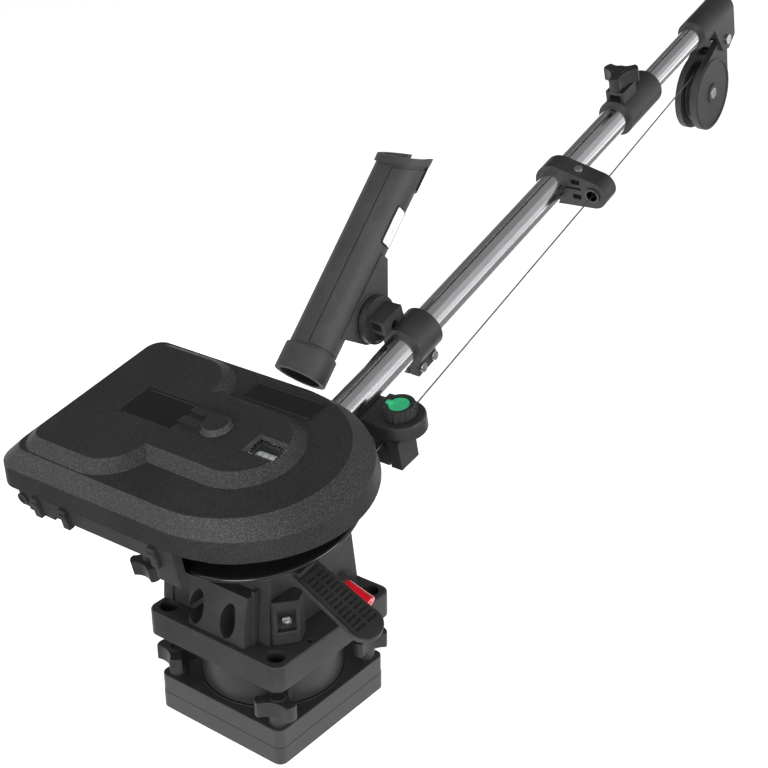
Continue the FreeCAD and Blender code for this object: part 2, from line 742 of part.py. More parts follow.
def crank_plug():
    """The plug in the lid's crank port: a low cone with a slotted tab and a stem."""
    low, high = PLATEAU_Z + 0.1, PLATEAU_Z + 5.1
    top = Part.makeCone(PLUG_R, PLUG_R - 3.5, high - low, V(0, 0, low))
    half, end = PLUG_TAB[0], PLUG_TAB[1] - PLUG_AT.y
    tab = box((-half, 0, low), (half, end, high - 1))
    slot = box((-3.5, PLUG_R - 3, low + 1.5), (3.5, end + 1, high + 1))
    stem = disc(PLUG_R - 4 - RUN_CLEARANCE, PLATEAU_Z - 8, low)
    plug = top.fuse(tab).cut(slot).fuse(stem)
    plug.translate(PLUG_AT)
    return plug


def chassis_tray():
    """The motor's tray under the lid: open at the top, scooped out round the spool, with its catches."""
    low, high = [Part.Face(lid_outline(plan, 0, TRAY_CORNER, bottom)).extrude(V(0, 0, top - bottom))
                 for plan, bottom, top in ((TRAY_LOW_PLAN, TRAY_BOTTOM, TRAY_STEP),
                                           (TRAY_HIGH_PLAN, TRAY_STEP, TRAY_RIM))]
    inner = Part.Face(lid_outline(TRAY_HIGH_PLAN, TRAY_WALL, TRAY_CORNER, TRAY_BOTTOM + TRAY_WALL))
    tray = low.fuse(high).cut(inner.extrude(V(0, 0, TRAY_RIM)))
    tray = tray.cut(box((-200, -200, 0), (200, TRAY_ARM_END, 100)))
    tray = tray.cut(box((0, -200, 0), (200, TRAY_NEAR, 100)))
    extras = [corner_block(), tray_runner(), end_boss()] + [side_clip(along) for along in CLIP_STATIONS]
    return tray.fuse(extras).cut(disc(SPOOL_CLEAR_R, 0, 100)).fuse(tray_stud())


def tray_side(along):
    """Where the tray's outer face is, on the lever's side, at a distance along it."""
    half, far_half, end = TRAY_LOW_PLAN[0], TRAY_LOW_PLAN[2], TRAY_LOW_PLAN[3]
    share = max(0.0, along - LID_AT.y) / (end - LID_AT.y)
    return LID_AT.x - half - share * (far_half - half)


def corner_block():
    """The block at the end of the tray's arm, reaching down past the spool's rim."""
    at = tray_side(TRAY_ARM_END)
    return box((at, TRAY_ARM_END, 8), (at + 24, TRAY_ARM_END + 28, TRAY_BOTTOM + TRAY_WALL))


def chassis_neck():
    """The wall that carries the tray on the bridge plate, behind the spool."""
    neck = box((-34, SPOOL_CLEAR_R + 1, BRIDGE_BOTTOM), (90, SPOOL_CLEAR_R + 11, TRAY_BOTTOM))
    foot = box((-34, 90, BRIDGE_BOTTOM), (90, SPOOL_CLEAR_R + 2, BRIDGE_TOP))
    return neck.fuse(foot).cut(bridge_plate())


def side_clip(along):
    """A catch on the tray's side, under the lid's edge."""
    at = tray_side(along)
    clip = box((at - 4, along - 4, TRAY_BOTTOM - 4), (at + 2, along + 4, LID_BOTTOM - 0.6))
    return clip.fuse(box((at - 5, along - 4, LID_BOTTOM - 10), (at + 2, along + 4, LID_BOTTOM - 6)))


def end_boss():
    """The round boss near the tray's far corner."""
    start = V(tray_side(BOSS_STATION) + 1, BOSS_STATION, TRAY_BOTTOM + 9)
    outer = Part.makeCylinder(6, 3.5, start, -X_AXIS)
    return outer.cut(Part.makeCylinder(3.5, 2.5, start - V(2.5, 0, 0), -X_AXIS))


def tray_runner():
    """The short rail under the tray's edge."""
    at = tray_side(150)
    return box((at + 2, 150, TRAY_BOTTOM - 7), (at + 14, 184, TRAY_BOTTOM))


def tray_stud():
    return disc(STUD_R, -6, TRAY_BOTTOM, TRAY_KNOB_AT)


def tray_knob():
    """The knob under the tray's corner, lobes down."""
    knob = lobe_knob(STUD_R + RUN_CLEARANCE, 15, 8, 16)
    knob.rotate(ORIGIN, X_AXIS, 180)
    knob.translate(TRAY_KNOB_AT + V(0, 0, 5))
    return knob


# Brake lever --------------------------------------------------------------------------------------

def brake_lever():
    """The lever's ring round the shaft, its arm under the spool, and the downward blade."""
    ring = disc(20, BRIDGE_TOP + FREE_GAP, LEVER_TOP).cut(disc(SHAFT_R + RUN_CLEARANCE, 0, 50))
    arm = box((-46, -84, BRIDGE_TOP + FREE_GAP), (-18, -8, LEVER_TOP)).fuse(
        box((-46, -16, BRIDGE_TOP + FREE_GAP), (0, 8, LEVER_TOP))).cut(disc(SHAFT_R + RUN_CLEARANCE, 0, 50))
    return ring.fuse([arm, lever_blade()]).removeSplitter()


def lever_blade_frame(shape):
    """Set the blade at the arm's end, pointing out and down."""
    shape.rotate(ORIGIN, X_AXIS, BLADE_DROP)
    shape.rotate(ORIGIN, Z_AXIS, -BLADE_HEADING)
    shape.translate(BLADE_AT)
    return shape


def lever_blade():
    """The paddle: wider towards a round end."""
    tip_y = -BLADE_LENGTH + BLADE_TIP_R
    plan = prism([(-BLADE_ROOT_HALF, 0, 0), (BLADE_ROOT_HALF, 0, 0), (BLADE_TIP_R - 0.6, tip_y, 0),
                  (-BLADE_TIP_R + 0.6, tip_y, 0)], ORIGIN, V(0, 0, BLADE_THICK))
    blade = plan.fuse(disc(BLADE_TIP_R, 0, BLADE_THICK, V(0, tip_y, 0))).removeSplitter()
    return lever_blade_frame(blade)


def lever_pad():
    """The ribbed rubber pad on the paddle: slots in two columns beside a spine."""
    tip_y = -BLADE_LENGTH + BLADE_TIP_R
    half = BLADE_ROOT_HALF - 2
    plan = prism([(-half, -8, 0), (half, -8, 0), (BLADE_TIP_R - 3, tip_y, 0), (-BLADE_TIP_R + 3, tip_y, 0)],
                 V(0, 0, BLADE_THICK), V(0, 0, 2.5))
    pad = plan.fuse(disc(BLADE_TIP_R - 2.4, BLADE_THICK, BLADE_THICK + 2.5, V(0, tip_y, 0))).removeSplitter()
    for row in range(SLOT_ROWS):
        slot_y = -14 - row * SLOT_PITCH
        reach = half - 2.5 + 0.04 * (row * SLOT_PITCH)
        for side in (-1, 1):
            low, high = sorted((side * 1.5, side * reach))
            pad = pad.cut(box((low, slot_y - SLOT_HALF, BLADE_THICK + 0.8),
                              (high, slot_y + SLOT_HALF, BLADE_THICK + 3)))
    return lever_blade_frame(pad)


# Boom ---------------------------------------------------------------------------------------------

def tube_x(radius, start, end, across=0.0, up=0.0):
    """A cylinder along the boom."""
    return Part.makeCylinder(radius, end - start, V(start, across, up), X_AXIS)


def boom_saddle():
    """The block that cradles the boom's root from below, drawn in the winch frame."""
    low, high = BOOM_Y - SADDLE_HALF, BOOM_Y + SADDLE_HALF
    block = box((SPOOL_CLEAR_R, low, BRIDGE_BOTTOM), (146, high, SADDLE_TOP))
    block = on_winch(block.fuse(box((90, low, BRIDGE_BOTTOM), (SPOOL_CLEAR_R + 1, high, BRIDGE_TOP))))
    block = block.cut(on_winch(bridge_plate()))
    bore = rod(OUTER_R, boom_point(V(-60, 0, 0)), boom_point(V(120, 0, 0)))
    return block.cut(bore)


def outer_tube():
    return tube_x(OUTER_R, 0, OUTER_LENGTH).cut(tube_x(OUTER_R - TUBE_WALL, -1, OUTER_LENGTH + 1))


def inner_tube():
    """The sliding tube, with a bush on its hidden end that fills the outer tube."""
    bush = tube_x(OUTER_R - TUBE_WALL - RUN_CLEARANCE, INNER_START, INNER_START + BUSH_LENGTH)
    tube = tube_x(INNER_R, INNER_START, INNER_END).fuse(bush)
    return tube.cut(tube_x(INNER_R - TUBE_WALL, INNER_START - 1, INNER_END + 1))


def collar():
    """The collar on the outer tube's end, with the lock's square boss on top."""
    low, high = COLLAR_SPAN
    body = tube_x(COLLAR_R, low, high).fuse(box((low + 4, -11, 12), (low + 32, 11, 31)))
    body = body.cut(box((low + 2, -7, OUTER_R + 4), (low + 14, 7, 27)))
    body = body.cut(tube_x(OUTER_R, low - 1, OUTER_LENGTH))
    body = body.cut(tube_x(INNER_R + RUN_CLEARANCE, low, high + 1))
    return body.cut(Part.makeCylinder(LOCK_R + RUN_CLEARANCE, 60, V(LOCK_AT, 0, OUTER_R + 0.6), Z_AXIS))


def boom_lock_knob():
    """The lock's knob with its neck and screw."""
    knob = knob_outline(KNOB_R, KNOB_WAIST_R, KNOB_HEIGHT)
    knob = soften_top(knob, KNOB_HEIGHT, 1.2)
    knob = knob.fuse(disc(8, KNOB_HEIGHT - 1, KNOB_HEIGHT + 1.5)).cut(disc(6, KNOB_HEIGHT + 0.5, 30))
    knob.rotate(ORIGIN, Z_AXIS, 70)
    knob = knob.fuse([disc(8, -3.4, 1), disc(LOCK_R, OUTER_R + 0.8 - LOCK_KNOB_FOOT, 1)])
    knob.translate(V(LOCK_AT, 0, LOCK_KNOB_FOOT))
    return knob


def boom_head():
    """The cap on the inner tube, with two ears for the pulley's bolt."""
    low, high = HEAD_SPAN
    cap = tube_x(HEAD_R, low, high)
    ear = [(low + 22, 0, 0), (high, 0, 0), (HEAD_BOLT[0] + 22, 0, HEAD_BOLT[1] - 4),
           (HEAD_BOLT[0] + 4, 0, HEAD_BOLT[1] - 14), (HEAD_BOLT[0] - 10, 0, HEAD_BOLT[1] - 11)]
    body = cap.fuse(prism(ear, V(0, -HEAD_R, 0), V(0, 2 * HEAD_R, 0)))
    body = body.cut(tube_x(INNER_R, low - 1, INNER_END))
    gap = PULLEY_HALF + FREE_GAP
    slot = box((low - 10, -gap, -90), (high + 40, gap, -HEAD_R - 1))
    return body.cut(slot).cut(head_bolt_bore())


def head_bolt_bore():
    return Part.makeCylinder(HEAD_BOLT_R, 80, V(HEAD_BOLT[0], -40, HEAD_BOLT[1]), Y_AXIS)


def head_bolt():
    """The bolt that the pulley block swings on."""
    def along(radius, start, end):
        return Part.makeCylinder(radius, end - start, V(HEAD_BOLT[0], start, HEAD_BOLT[1]), Y_AXIS)
    shank = along(HEAD_BOLT_R, -HEAD_R, HEAD_R)
    head_r = HEAD_BOLT_R + 2
    return shank.fuse([along(head_r, -HEAD_R - 3, -HEAD_R), along(head_r, HEAD_R, HEAD_R + 4)])


# Pulley block -------------------------------------------------------------------------------------

def head_bolt_point():
    return boom_point(V(HEAD_BOLT[0], 0, HEAD_BOLT[1]))


def side_plate(near_y):
    """A teardrop side plate of the pulley block, from its bolt down round the sheave."""
    top = head_bolt_point()
    start = V(0, near_y, 0)
    round_part = Part.makeCylinder(PULLEY_R, SIDE_THICK, PULLEY_CENTRE + start, Y_AXIS)
    eye = Part.makeCylinder(EYE_R, SIDE_THICK, top + start, Y_AXIS)
    down = (PULLEY_CENTRE - top).normalize()
    across = V(down.z, 0, -down.x)
    shoulder = PULLEY_CENTRE - down * 14
    web = [top + across * EYE_R, top - across * EYE_R,
           shoulder - across * (PULLEY_R - 3), shoulder + across * (PULLEY_R - 3)]
    plate = prism([tuple(point) for point in web], start, V(0, SIDE_THICK, 0))
    body = round_part.fuse([eye, plate]).removeSplitter()
    body = body.cut(Part.makeCylinder(HEAD_BOLT_R + RUN_CLEARANCE, 90, top + V(0, -45, 0), Y_AXIS))
    return body.cut(Part.makeCylinder(SHEAVE_PIN_R, 90, PULLEY_CENTRE + V(0, -45, 0), Y_AXIS))


def side_plate_near():
    return side_plate(-PULLEY_HALF)


def side_plate_far():
    """The far plate, with the rib that meets the near one."""
    return side_plate(PULLEY_HALF - SIDE_THICK).fuse(block_spacer())


def block_spacer():
    """The rib that joins the side plates below the bolt."""
    top = head_bolt_point()
    down = (PULLEY_CENTRE - top).normalize()
    middle = top + down * 17
    half = PULLEY_HALF - SIDE_THICK
    return rod(5, middle + V(0, -half, 0), middle + V(0, half, 0))


def sheave_pin():
    half = PULLEY_HALF + 2
    pin = rod(SHEAVE_PIN_R, PULLEY_CENTRE + V(0, -half, 0), PULLEY_CENTRE + V(0, half, 0))
    return pin.fuse([rod(7, PULLEY_CENTRE + V(0, side * PULLEY_HALF, 0), PULLEY_CENTRE + V(0, side * half, 0))
                     for side in (-1, 1)])


def sheave():
    """The grooved wheel that the line runs over."""
    bore_r = SHEAVE_PIN_R + RUN_CLEARANCE
    profile = [(bore_r, -SHEAVE_HALF), (SHEAVE_R, -SHEAVE_HALF), (SHEAVE_R, -SHEAVE_HALF + 1),
               (GROOVE_R, -1), (GROOVE_R, 1), (SHEAVE_R, SHEAVE_HALF - 1), (SHEAVE_R, SHEAVE_HALF),
               (bore_r, SHEAVE_HALF)]
    outline = [PULLEY_CENTRE + V(r, y, 0) for r, y in profile]
    return Part.Face(Part.makePolygon(outline + outline[:1])).revolve(PULLEY_CENTRE, Y_AXIS, 360)


# Line ---------------------------------------------------------------------------------------------

def spool_tangent():
    return winch_point(V(0, -LINE_R - CABLE_R - LINE_GAP, RIM_TOP + 2))


def ring_centre(station):
    return boom_point(V(station, FAIRLEAD_RING[0], FAIRLEAD_RING[1]))


def sheave_tangent():
    """Where the line from the fairlead touches the top of the sheave."""
    away = PULLEY_CENTRE - ring_centre(FAIRLEAD_SPAN[1])
    reach = math.hypot(away.x, away.z)
    radius = GROOVE_R + CABLE_R + 0.2
    slope = math.atan2(away.z, away.x) + math.asin(radius / reach)
    return PULLEY_CENTRE + V(-radius * math.sin(slope), 0, radius * math.cos(slope))


def line_low():
    """The line from the spool to the fairlead, which it leaves just short of the upper line's start."""
    start, end = spool_tangent(), ring_centre(FAIRLEAD_SPAN[1])
    gap = (end - start).normalize() * LINE_GAP
    return rod(CABLE_R, start, end - gap)


def line_high():
    """The line from the fairlead to the sheave."""
    return rod(CABLE_R, ring_centre(FAIRLEAD_SPAN[1]), sheave_tangent())


# Boom fittings ------------------------------------------------------------------------------------

def fairlead():
    """The guide's body: clamped round the boom, with the ring's eye on the lever's side."""
    low, high = FAIRLEAD_SPAN
    body = capsule((0, 0), FAIRLEAD_RING, 23, 16, low, high)
    body = body.cut(tube_x(OUTER_R, low - 1, high + 1))
    body = body.cut(tube_x(RING_R, low - 1, high + 1, *FAIRLEAD_RING))
    body = body.cut(box((low - 1, -32, -1.2), (high + 1, -14, 1.2)))
    for up in (5, -13):
        body = body.cut(box((low - 1, -31, up), (low + 6, -21, up + 6)))
    screw_at = V((low + high) / 2, -25, 0)
    body = body.cut(Part.makeCylinder(5.5, 20, screw_at + V(0, 0, 16), Z_AXIS))
    return body.cut(Part.makeCylinder(2.5, 60, screw_at + V(0, 0, -30), Z_AXIS))


def fairlead_ring():
    low, high = FAIRLEAD_SPAN
    ring = tube_x(RING_R, low - 1.5, high + 1.5, *FAIRLEAD_RING)
    return ring.cut(tube_x(RING_BORE_R, low - 3, high + 3, *FAIRLEAD_RING))


def fairlead_screw():
    at = V(sum(FAIRLEAD_SPAN) / 2, -25, 0)
    shank = Part.makeCylinder(2.5, 28, at + V(0, 0, -12), Z_AXIS)
    return shank.fuse(Part.makeCylinder(5, 2.5, at + V(0, 0, 16), Z_AXIS))


def boom_screws():
    """The fairlead's screw and the two clamp screws."""
    screws = [fairlead_screw()] + [clamp_screw(at) for at in CLAMP_SCREWS]
    return Part.makeCompound(screws)


def clamp_sleeve():
    """The rod holder's clamp round the boom, with a split and two ears hanging below it."""
    low, high = CLAMP_SPAN
    ears = box((low + 1, -EAR_HALF, EAR_BOTTOM), (high - 3, EAR_HALF, -OUTER_R))
    sleeve = tube_x(CLAMP_R, low, high).fuse(ears).cut(tube_x(OUTER_R, low - 1, high + 1))
    for at in CLAMP_SCREWS:
        sleeve = sleeve.cut(Part.makeCylinder(3, 2 * EAR_HALF - 4, V(at, -EAR_HALF, EAR_SCREW_UP), Y_AXIS))
    return sleeve.cut(box((low - 1, -0.6, EAR_BOTTOM - 1), (high + 1, 0.6, -OUTER_R + 1)))


def clamp_screw(at):
    """A screw across both ears, with its head on the lever's side."""
    start = V(at, -EAR_HALF, EAR_SCREW_UP)
    shank = Part.makeCylinder(3, 2 * EAR_HALF - 4, start, Y_AXIS)
    return shank.fuse(Part.makeCylinder(5, 3, start - V(0, 3, 0), Y_AXIS))


def clamp_arm():
    """The arm from the clamp to the rod holder's pivot, with the toothed face at its end."""
    centre = FreeCAD.Placement(BOOM_ROOT, FreeCAD.Rotation(Y_AXIS, -BOOM_TILT)).inverse().multVec(PIVOT_AT)
    face_y = centre.y - DISC_THICK - TOOTH_DEPTH - FREE_GAP
    low = CLAMP_SPAN[0]
    foot = [(low, 4, 12), (low + 22, 4, 12), (centre.x + 11, face_y, 12), (centre.x - 11, face_y, 12)]
    arm = prism(foot, ORIGIN, V(0, 0, 4))
    beam = box((centre.x - BEAM_HALF, 8, centre.z - BEAM_HALF),
               (centre.x + BEAM_HALF, face_y + 1, centre.z + 13))
    for floor, roof in ((-BEAM_HALF + 3, -2), (1, 10)):
        pocket = box((centre.x - BEAM_HALF - 1, 12, centre.z + floor),
                     (centre.x - PIVOT_BOLT_R - 3, face_y - 3, centre.z + roof))
        beam = beam.cut(pocket)
    disc_body = Part.makeCylinder(DISC_R, DISC_THICK, V(centre.x, face_y, centre.z), Y_AXIS)
    body = beam.fuse([arm, disc_body]).cut(tube_x(CLAMP_R, low - 20, CLAMP_SPAN[1] + 1))
    body = body.cut(Part.makeCylinder(PIVOT_BOLT_R, 60, V(centre.x, 0, centre.z), Y_AXIS))
    for tooth in range(TOOTH_COUNT):
        spoke = box((13, 0, -1.0), (DISC_R - 1, TOOTH_DEPTH, 1.0))
        spoke.rotate(ORIGIN, Y_AXIS, 360 * tooth / TOOTH_COUNT)
        spoke.translate(V(centre.x, face_y + DISC_THICK, centre.z))
        body = body.fuse(spoke)
    return body


def rod_pivot_bolt():
    """The bolt through the toothed faces."""
    start = -DISC_THICK - TOOTH_DEPTH - FREE_GAP - 6
    shank = Part.makeCylinder(PIVOT_BOLT_R, 2 - start + DISC_THICK, V(0, start, 0), Y_AXIS)
    return shank.fuse(Part.makeCylinder(9, 3, V(0, DISC_THICK + 0.3, 0), Y_AXIS))


# Rod holder ---------------------------------------------------------------------------------------

def rod_axis_x(radius, start, end):
    return Part.makeCylinder(radius, end - start, V(start, ROD_Y, ROD_OFFSET), X_AXIS)


def past_slanted_plane(along):
    """Everything beyond the plane that cuts the tube's top at a slant, moved along the tube."""
    block = box((0, -60, -90), (90, 60, 90))
    block.rotate(ORIGIN, Y_AXIS, -TOP_SLANT)
    block.translate(V(along, ROD_Y, ROD_OFFSET))
    return block


def rod_panel(inset, inner_r, outer_r):
    """A patch of the tube's near side between two radii, from the collar up to just below the lip."""
    low, high = ROD_SPAN
    far = 2 * ROD_R
    region = box((low + COLLAR_LENGTH + 3 + inset, ROD_Y - far, ROD_OFFSET - far),
                 (high + far, ROD_Y - GROOVE_OFFSET - inset, ROD_OFFSET + far))
    region = region.cut(past_slanted_plane(high - LIP_DEPTH - 3 - inset))
    shell = rod_axis_x(outer_r, low, high + TOP_REACH).cut(rod_axis_x(inner_r, low - 1, high + far))
    return shell.common(region)


def rod_tube():
    """The rod holder's tube: a collar below, a slanted lip above with the reel's notch, a grooved panel."""
    low, high = ROD_SPAN
    top = high + TOP_REACH
    tube = rod_axis_x(ROD_R, low, top)
    lip = rod_axis_x(LIP_R, high - FLANGE_DEPTH, top).common(past_slanted_plane(high - LIP_DEPTH))
    flange = rod_axis_x(LIP_R - 0.5, high - FLANGE_DEPTH, top)
    flange = flange.common(box((low, ROD_Y - 40, ROD_OFFSET - 40), (top, ROD_Y + 40, ROD_OFFSET - ROD_R / 2)))
    tube = tube.cut(rod_panel(0, ROD_R - GROOVE_DEPTH, LIP_R + 1))
    tube = tube.fuse([rod_panel(GROOVE_WIDTH, ROD_R - GROOVE_DEPTH, ROD_R + 0.3),
                      rod_axis_x(LIP_R, low, low + COLLAR_LENGTH), lip, flange])
    tube = tube.cut(past_slanted_plane(high)).cut(rod_axis_x(ROD_BORE_R, low - 1, top + 1))
    notch = box((high - NOTCH_DEPTH, ROD_Y + NOTCH_SIDES[0], ROD_OFFSET - 40),
                (top + 1, ROD_Y + NOTCH_SIDES[1], ROD_OFFSET))
    return tube.cut(notch)


def rod_gusset():
    """The web and disc that join the tube to its pivot."""
    plate = Part.makeCylinder(GUSSET_R, DISC_THICK, ORIGIN, Y_AXIS)
    web = prism([(-24, 0, -12), (22, 0, -15), (56, 0, 17), (56, 0, ROD_OFFSET), (-36, 0, ROD_OFFSET)],
                V(0, 1, 0), V(0, 11, 0))
    body = plate.fuse(web)
    body = body.cut(Part.makeCylinder(13, 20, V(0, DISC_THICK, 0), Y_AXIS))
    body = body.cut(rod_tube()).cut(rod_axis_x(ROD_R, *ROD_SPAN))
    return body.cut(Part.makeCylinder(PIVOT_BOLT_R + RUN_CLEARANCE, 60, V(0, -20, 0), Y_AXIS))


# Switch -------------------------------------------------------------------------------------------

def switch_deck():
    """The round-ended housing beside the boom's root, with two blocks below and the line's way through."""
    low, high = SWITCH_DECK
    body = disc(SWITCH_R, low, high, SWITCH_AT)
    far = BOOM_Y - SADDLE_HALF
    body = body.fuse(box((SWITCH_AT.x - SWITCH_R, SWITCH_AT.y, low), (SWITCH_AT.x + SWITCH_R, far, high)))
    body = soften_top(body.removeSplitter(), high, 2.5)
    blocks = [box((-24, -12, low - 29), (2, 0, low + 1)), box((-23, 3, low - 29), (-5, 16, low + 1))]
    for block in blocks:
        block.translate(SWITCH_AT)
    body = body.fuse(blocks).cut(disc(SPINDLE_R + RUN_CLEARANCE, low + 4, high + 2, SWITCH_AT))
    return on_winch(body).cut(rod(LINE_GUIDE_R, spool_tangent(), ring_centre(FAIRLEAD_SPAN[0])))


def switch_knob():
    """The ribbed knob ring on its spindle."""
    low = SWITCH_DECK[1] + FREE_GAP
    ring = disc(SWITCH_KNOB_R, low, low + 11, SWITCH_AT)
    for rib in range(SWITCH_RIBS):
        turn = 2 * math.pi * rib / SWITCH_RIBS
        at = SWITCH_AT + V(math.cos(turn), math.sin(turn), 0) * SWITCH_KNOB_R
        ring = ring.fuse(disc(1.2, low, low + 9, at))
    ring = ring.cut(disc(INSERT_R + 1, low + 8.5, low + 12, SWITCH_AT))
    return ring.fuse(disc(SPINDLE_R, SWITCH_DECK[0] + 5, low + 1, SWITCH_AT))


def switch_insert():
    """The green disc in the knob."""
    low = SWITCH_DECK[1] + FREE_GAP + 8.5
    return disc(INSERT_R, low, low + 2, SWITCH_AT)


def clamp_knobs():
    turns = (20, 75, 40, 100)
    return {"clamp_knob_%d" % number: clamp_knob(at, turn)
            for number, (at, turn) in enumerate(zip(corners(STUD_AT), turns), 1)}


def parts():
    """Every node's name and solid, in place."""
    upright = (deck_plate, swivel_flange, pivot_post, clamp_studs, swivel_drum, swivel_plate,
               right_cheek, left_cheek, pedestal_walls, tunnel_block, lock_block, lock_pin, lock_pin_knob,
               lid, boom_saddle, switch_deck, sheave, sheave_pin, side_plate_near, side_plate_far,
               line_low, line_high)
    winch = (bridge_plate, spool_shaft, spool, line_winding, spool_pulley, motor_pulley, drive_belt,
             winch_bracket, motor, counter_case, counter_wheels, window_pane, crank_plug, chassis_tray,
             chassis_neck, tray_knob, brake_lever, lever_pad, switch_knob, switch_insert)
    boom = (outer_tube, inner_tube, collar, boom_lock_knob, boom_head, head_bolt, fairlead, fairlead_ring,
            boom_screws, clamp_sleeve, clamp_arm)
    rod_holder = (rod_tube, rod_gusset, rod_pivot_bolt)
    made = clamp_knobs()
    for group, put in ((upright, lambda shape: shape), (winch, on_winch), (boom, on_boom),
                       (rod_holder, on_rod_holder)):
        for make in group:
            made[make.__name__] = put(make())
    return made


os.makedirs("parts", exist_ok=True)
for node_name, solid in parts().items():
    solid.exportStep("parts/%s.step" % node_name)
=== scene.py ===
"""Looks for the electric downrigger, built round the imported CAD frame. Metres, in the CAD's own frame."""

import json
import math

import bmesh
import bpy
from mathutils import Matrix, Vector


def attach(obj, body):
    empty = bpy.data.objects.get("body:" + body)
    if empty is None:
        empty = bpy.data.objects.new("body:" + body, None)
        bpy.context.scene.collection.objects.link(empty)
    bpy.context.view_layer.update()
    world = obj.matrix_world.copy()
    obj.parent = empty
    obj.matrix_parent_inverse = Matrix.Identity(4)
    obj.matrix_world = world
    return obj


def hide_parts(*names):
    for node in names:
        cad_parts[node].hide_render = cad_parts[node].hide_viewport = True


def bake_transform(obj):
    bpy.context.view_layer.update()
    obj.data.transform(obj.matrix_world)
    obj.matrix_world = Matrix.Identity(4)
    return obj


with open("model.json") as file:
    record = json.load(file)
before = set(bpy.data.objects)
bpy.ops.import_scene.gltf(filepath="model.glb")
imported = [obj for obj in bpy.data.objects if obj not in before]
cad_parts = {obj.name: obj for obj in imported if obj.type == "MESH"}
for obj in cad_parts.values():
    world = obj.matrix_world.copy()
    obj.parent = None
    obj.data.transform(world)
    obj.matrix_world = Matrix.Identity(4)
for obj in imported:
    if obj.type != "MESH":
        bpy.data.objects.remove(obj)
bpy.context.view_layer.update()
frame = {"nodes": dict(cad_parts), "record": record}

MM = 0.001
X_AXIS = Vector((1, 0, 0))
Y_AXIS = Vector((0, 1, 0))
Z_AXIS = Vector((0, 0, 1))


# Frames. The same tilted frames that the CAD is drawn in; points are given in millimetres.

def tilted(origin, degrees):
    turn = Matrix.Rotation(math.radians(-degrees), 4, "Y")
    return Matrix.Translation(Vector(origin) * MM) @ turn


WINCH = tilted((-5, 0, 194), 13)
BOOM = tilted((78.8, -20, 266.9), 20)
ROD_HOLDER = tilted((176, 15, 326), 46.8)


def place(base, point):
    return base @ (Vector(point) * MM)


def heading(base, direction):
    return (base.to_3x3() @ Vector(direction)).normalized()


# Materials ----------------------------------------------------------------------------------------

def new_material(name):
    material = bpy.data.materials.new(name)
    material.use_nodes = True
    nodes = material.node_tree.nodes
    nodes.clear()
    shader = nodes.new("ShaderNodeBsdfPrincipled")
    output = nodes.new("ShaderNodeOutputMaterial")
    material.node_tree.links.new(shader.outputs["BSDF"], output.inputs["Surface"])
    return material, nodes, material.node_tree.links, shader


def noise(nodes, links, coords, scale, detail=4.0, rough=0.55, stretch=None, turn=0.0):
    texture = nodes.new("ShaderNodeTexNoise")
    texture.inputs["Scale"].default_value = scale
    texture.inputs["Detail"].default_value = detail
    texture.inputs["Roughness"].default_value = rough
    source = coords
    if stretch is not None:
        mapping = nodes.new("ShaderNodeMapping")
        mapping.inputs["Scale"].default_value = stretch
        mapping.inputs["Rotation"].default_value = (0.0, math.radians(turn), 0.0)
        links.new(coords, mapping.inputs["Vector"])
        source = mapping.outputs["Vector"]
    links.new(source, texture.inputs["Vector"])
    return texture.outputs["Fac"]


def ramp(nodes, links, value, stops):
    """A colour ramp over a value. Stops are (position, colour)."""
    node = nodes.new("ShaderNodeValToRGB")
    elements = node.color_ramp.elements
    while len(elements) < len(stops):
        elements.new(0.5)
    for element, (position, colour) in zip(elements, stops):
        element.position = position
        element.color = (*colour, 1) if len(colour) == 3 else (colour[0],) * 3 + (1,)
    links.new(value, node.inputs["Fac"])
    return node.outputs["Color"]


def spread(nodes, links, value, low, high, from_low=0.3, from_high=0.7):
    node = nodes.new("ShaderNodeMapRange")
    node.inputs["From Min"].default_value = from_low
    node.inputs["From Max"].default_value = from_high
    node.inputs["To Min"].default_value = low
    node.inputs["To Max"].default_value = high
    links.new(value, node.inputs["Value"])
    return node.outputs["Result"]


def mix_colours(nodes, links, share, first, second, blend="MIX"):
    node = nodes.new("ShaderNodeMix")
    node.data_type = "RGBA"
    node.blend_type = blend
    for socket, value in ((node.inputs["Factor"], share), (node.inputs[6], first), (node.inputs[7], second)):
        if isinstance(value, bpy.types.NodeSocket):
            links.new(value, socket)
        elif isinstance(value, tuple):
            socket.default_value = (*value, 1)
        else:
            socket.default_value = value
    return node.outputs[2]


def bump(nodes, links, height, strength, distance, normal=None):
    node = nodes.new("ShaderNodeBump")
    node.inputs["Strength"].default_value = strength
    node.inputs["Distance"].default_value = distance
    links.new(height, node.inputs["Height"])
    if normal is not None:
        links.new(normal, node.inputs["Normal"])
    return node.outputs["Normal"]


def grey(level):
    return (level, level, level * 1.03)


def grained_plastic(name, level, grain=1400.0, height=0.00006, rough=(0.42, 0.58), patch=0.25):
    """Moulded plastic: fine grain, slow patches of tone, and roughness that wanders."""
    material, nodes, links, shader = new_material(name)
    coords = nodes.new("ShaderNodeTexCoord").outputs["Object"]
    fine = noise(nodes, links, coords, grain, 3.0)
    slow = noise(nodes, links, coords, 22.0, 5.0, 0.6)
    tone = ramp(nodes, links, slow, [(0.3, grey(level * (1 - patch))), (0.7, grey(level * (1 + patch)))])
    speckle = ramp(nodes, links, fine, [(0.35, (0.75,)), (0.7, (1.3,))])
    links.new(mix_colours(nodes, links, 1.0, tone, speckle, "MULTIPLY"), shader.inputs["Base Color"])
    links.new(spread(nodes, links, slow, *rough), shader.inputs["Roughness"])
    links.new(bump(nodes, links, fine, 0.6, height), shader.inputs["Normal"])
    shader.inputs["Specular IOR Level"].default_value = 0.4
    return material


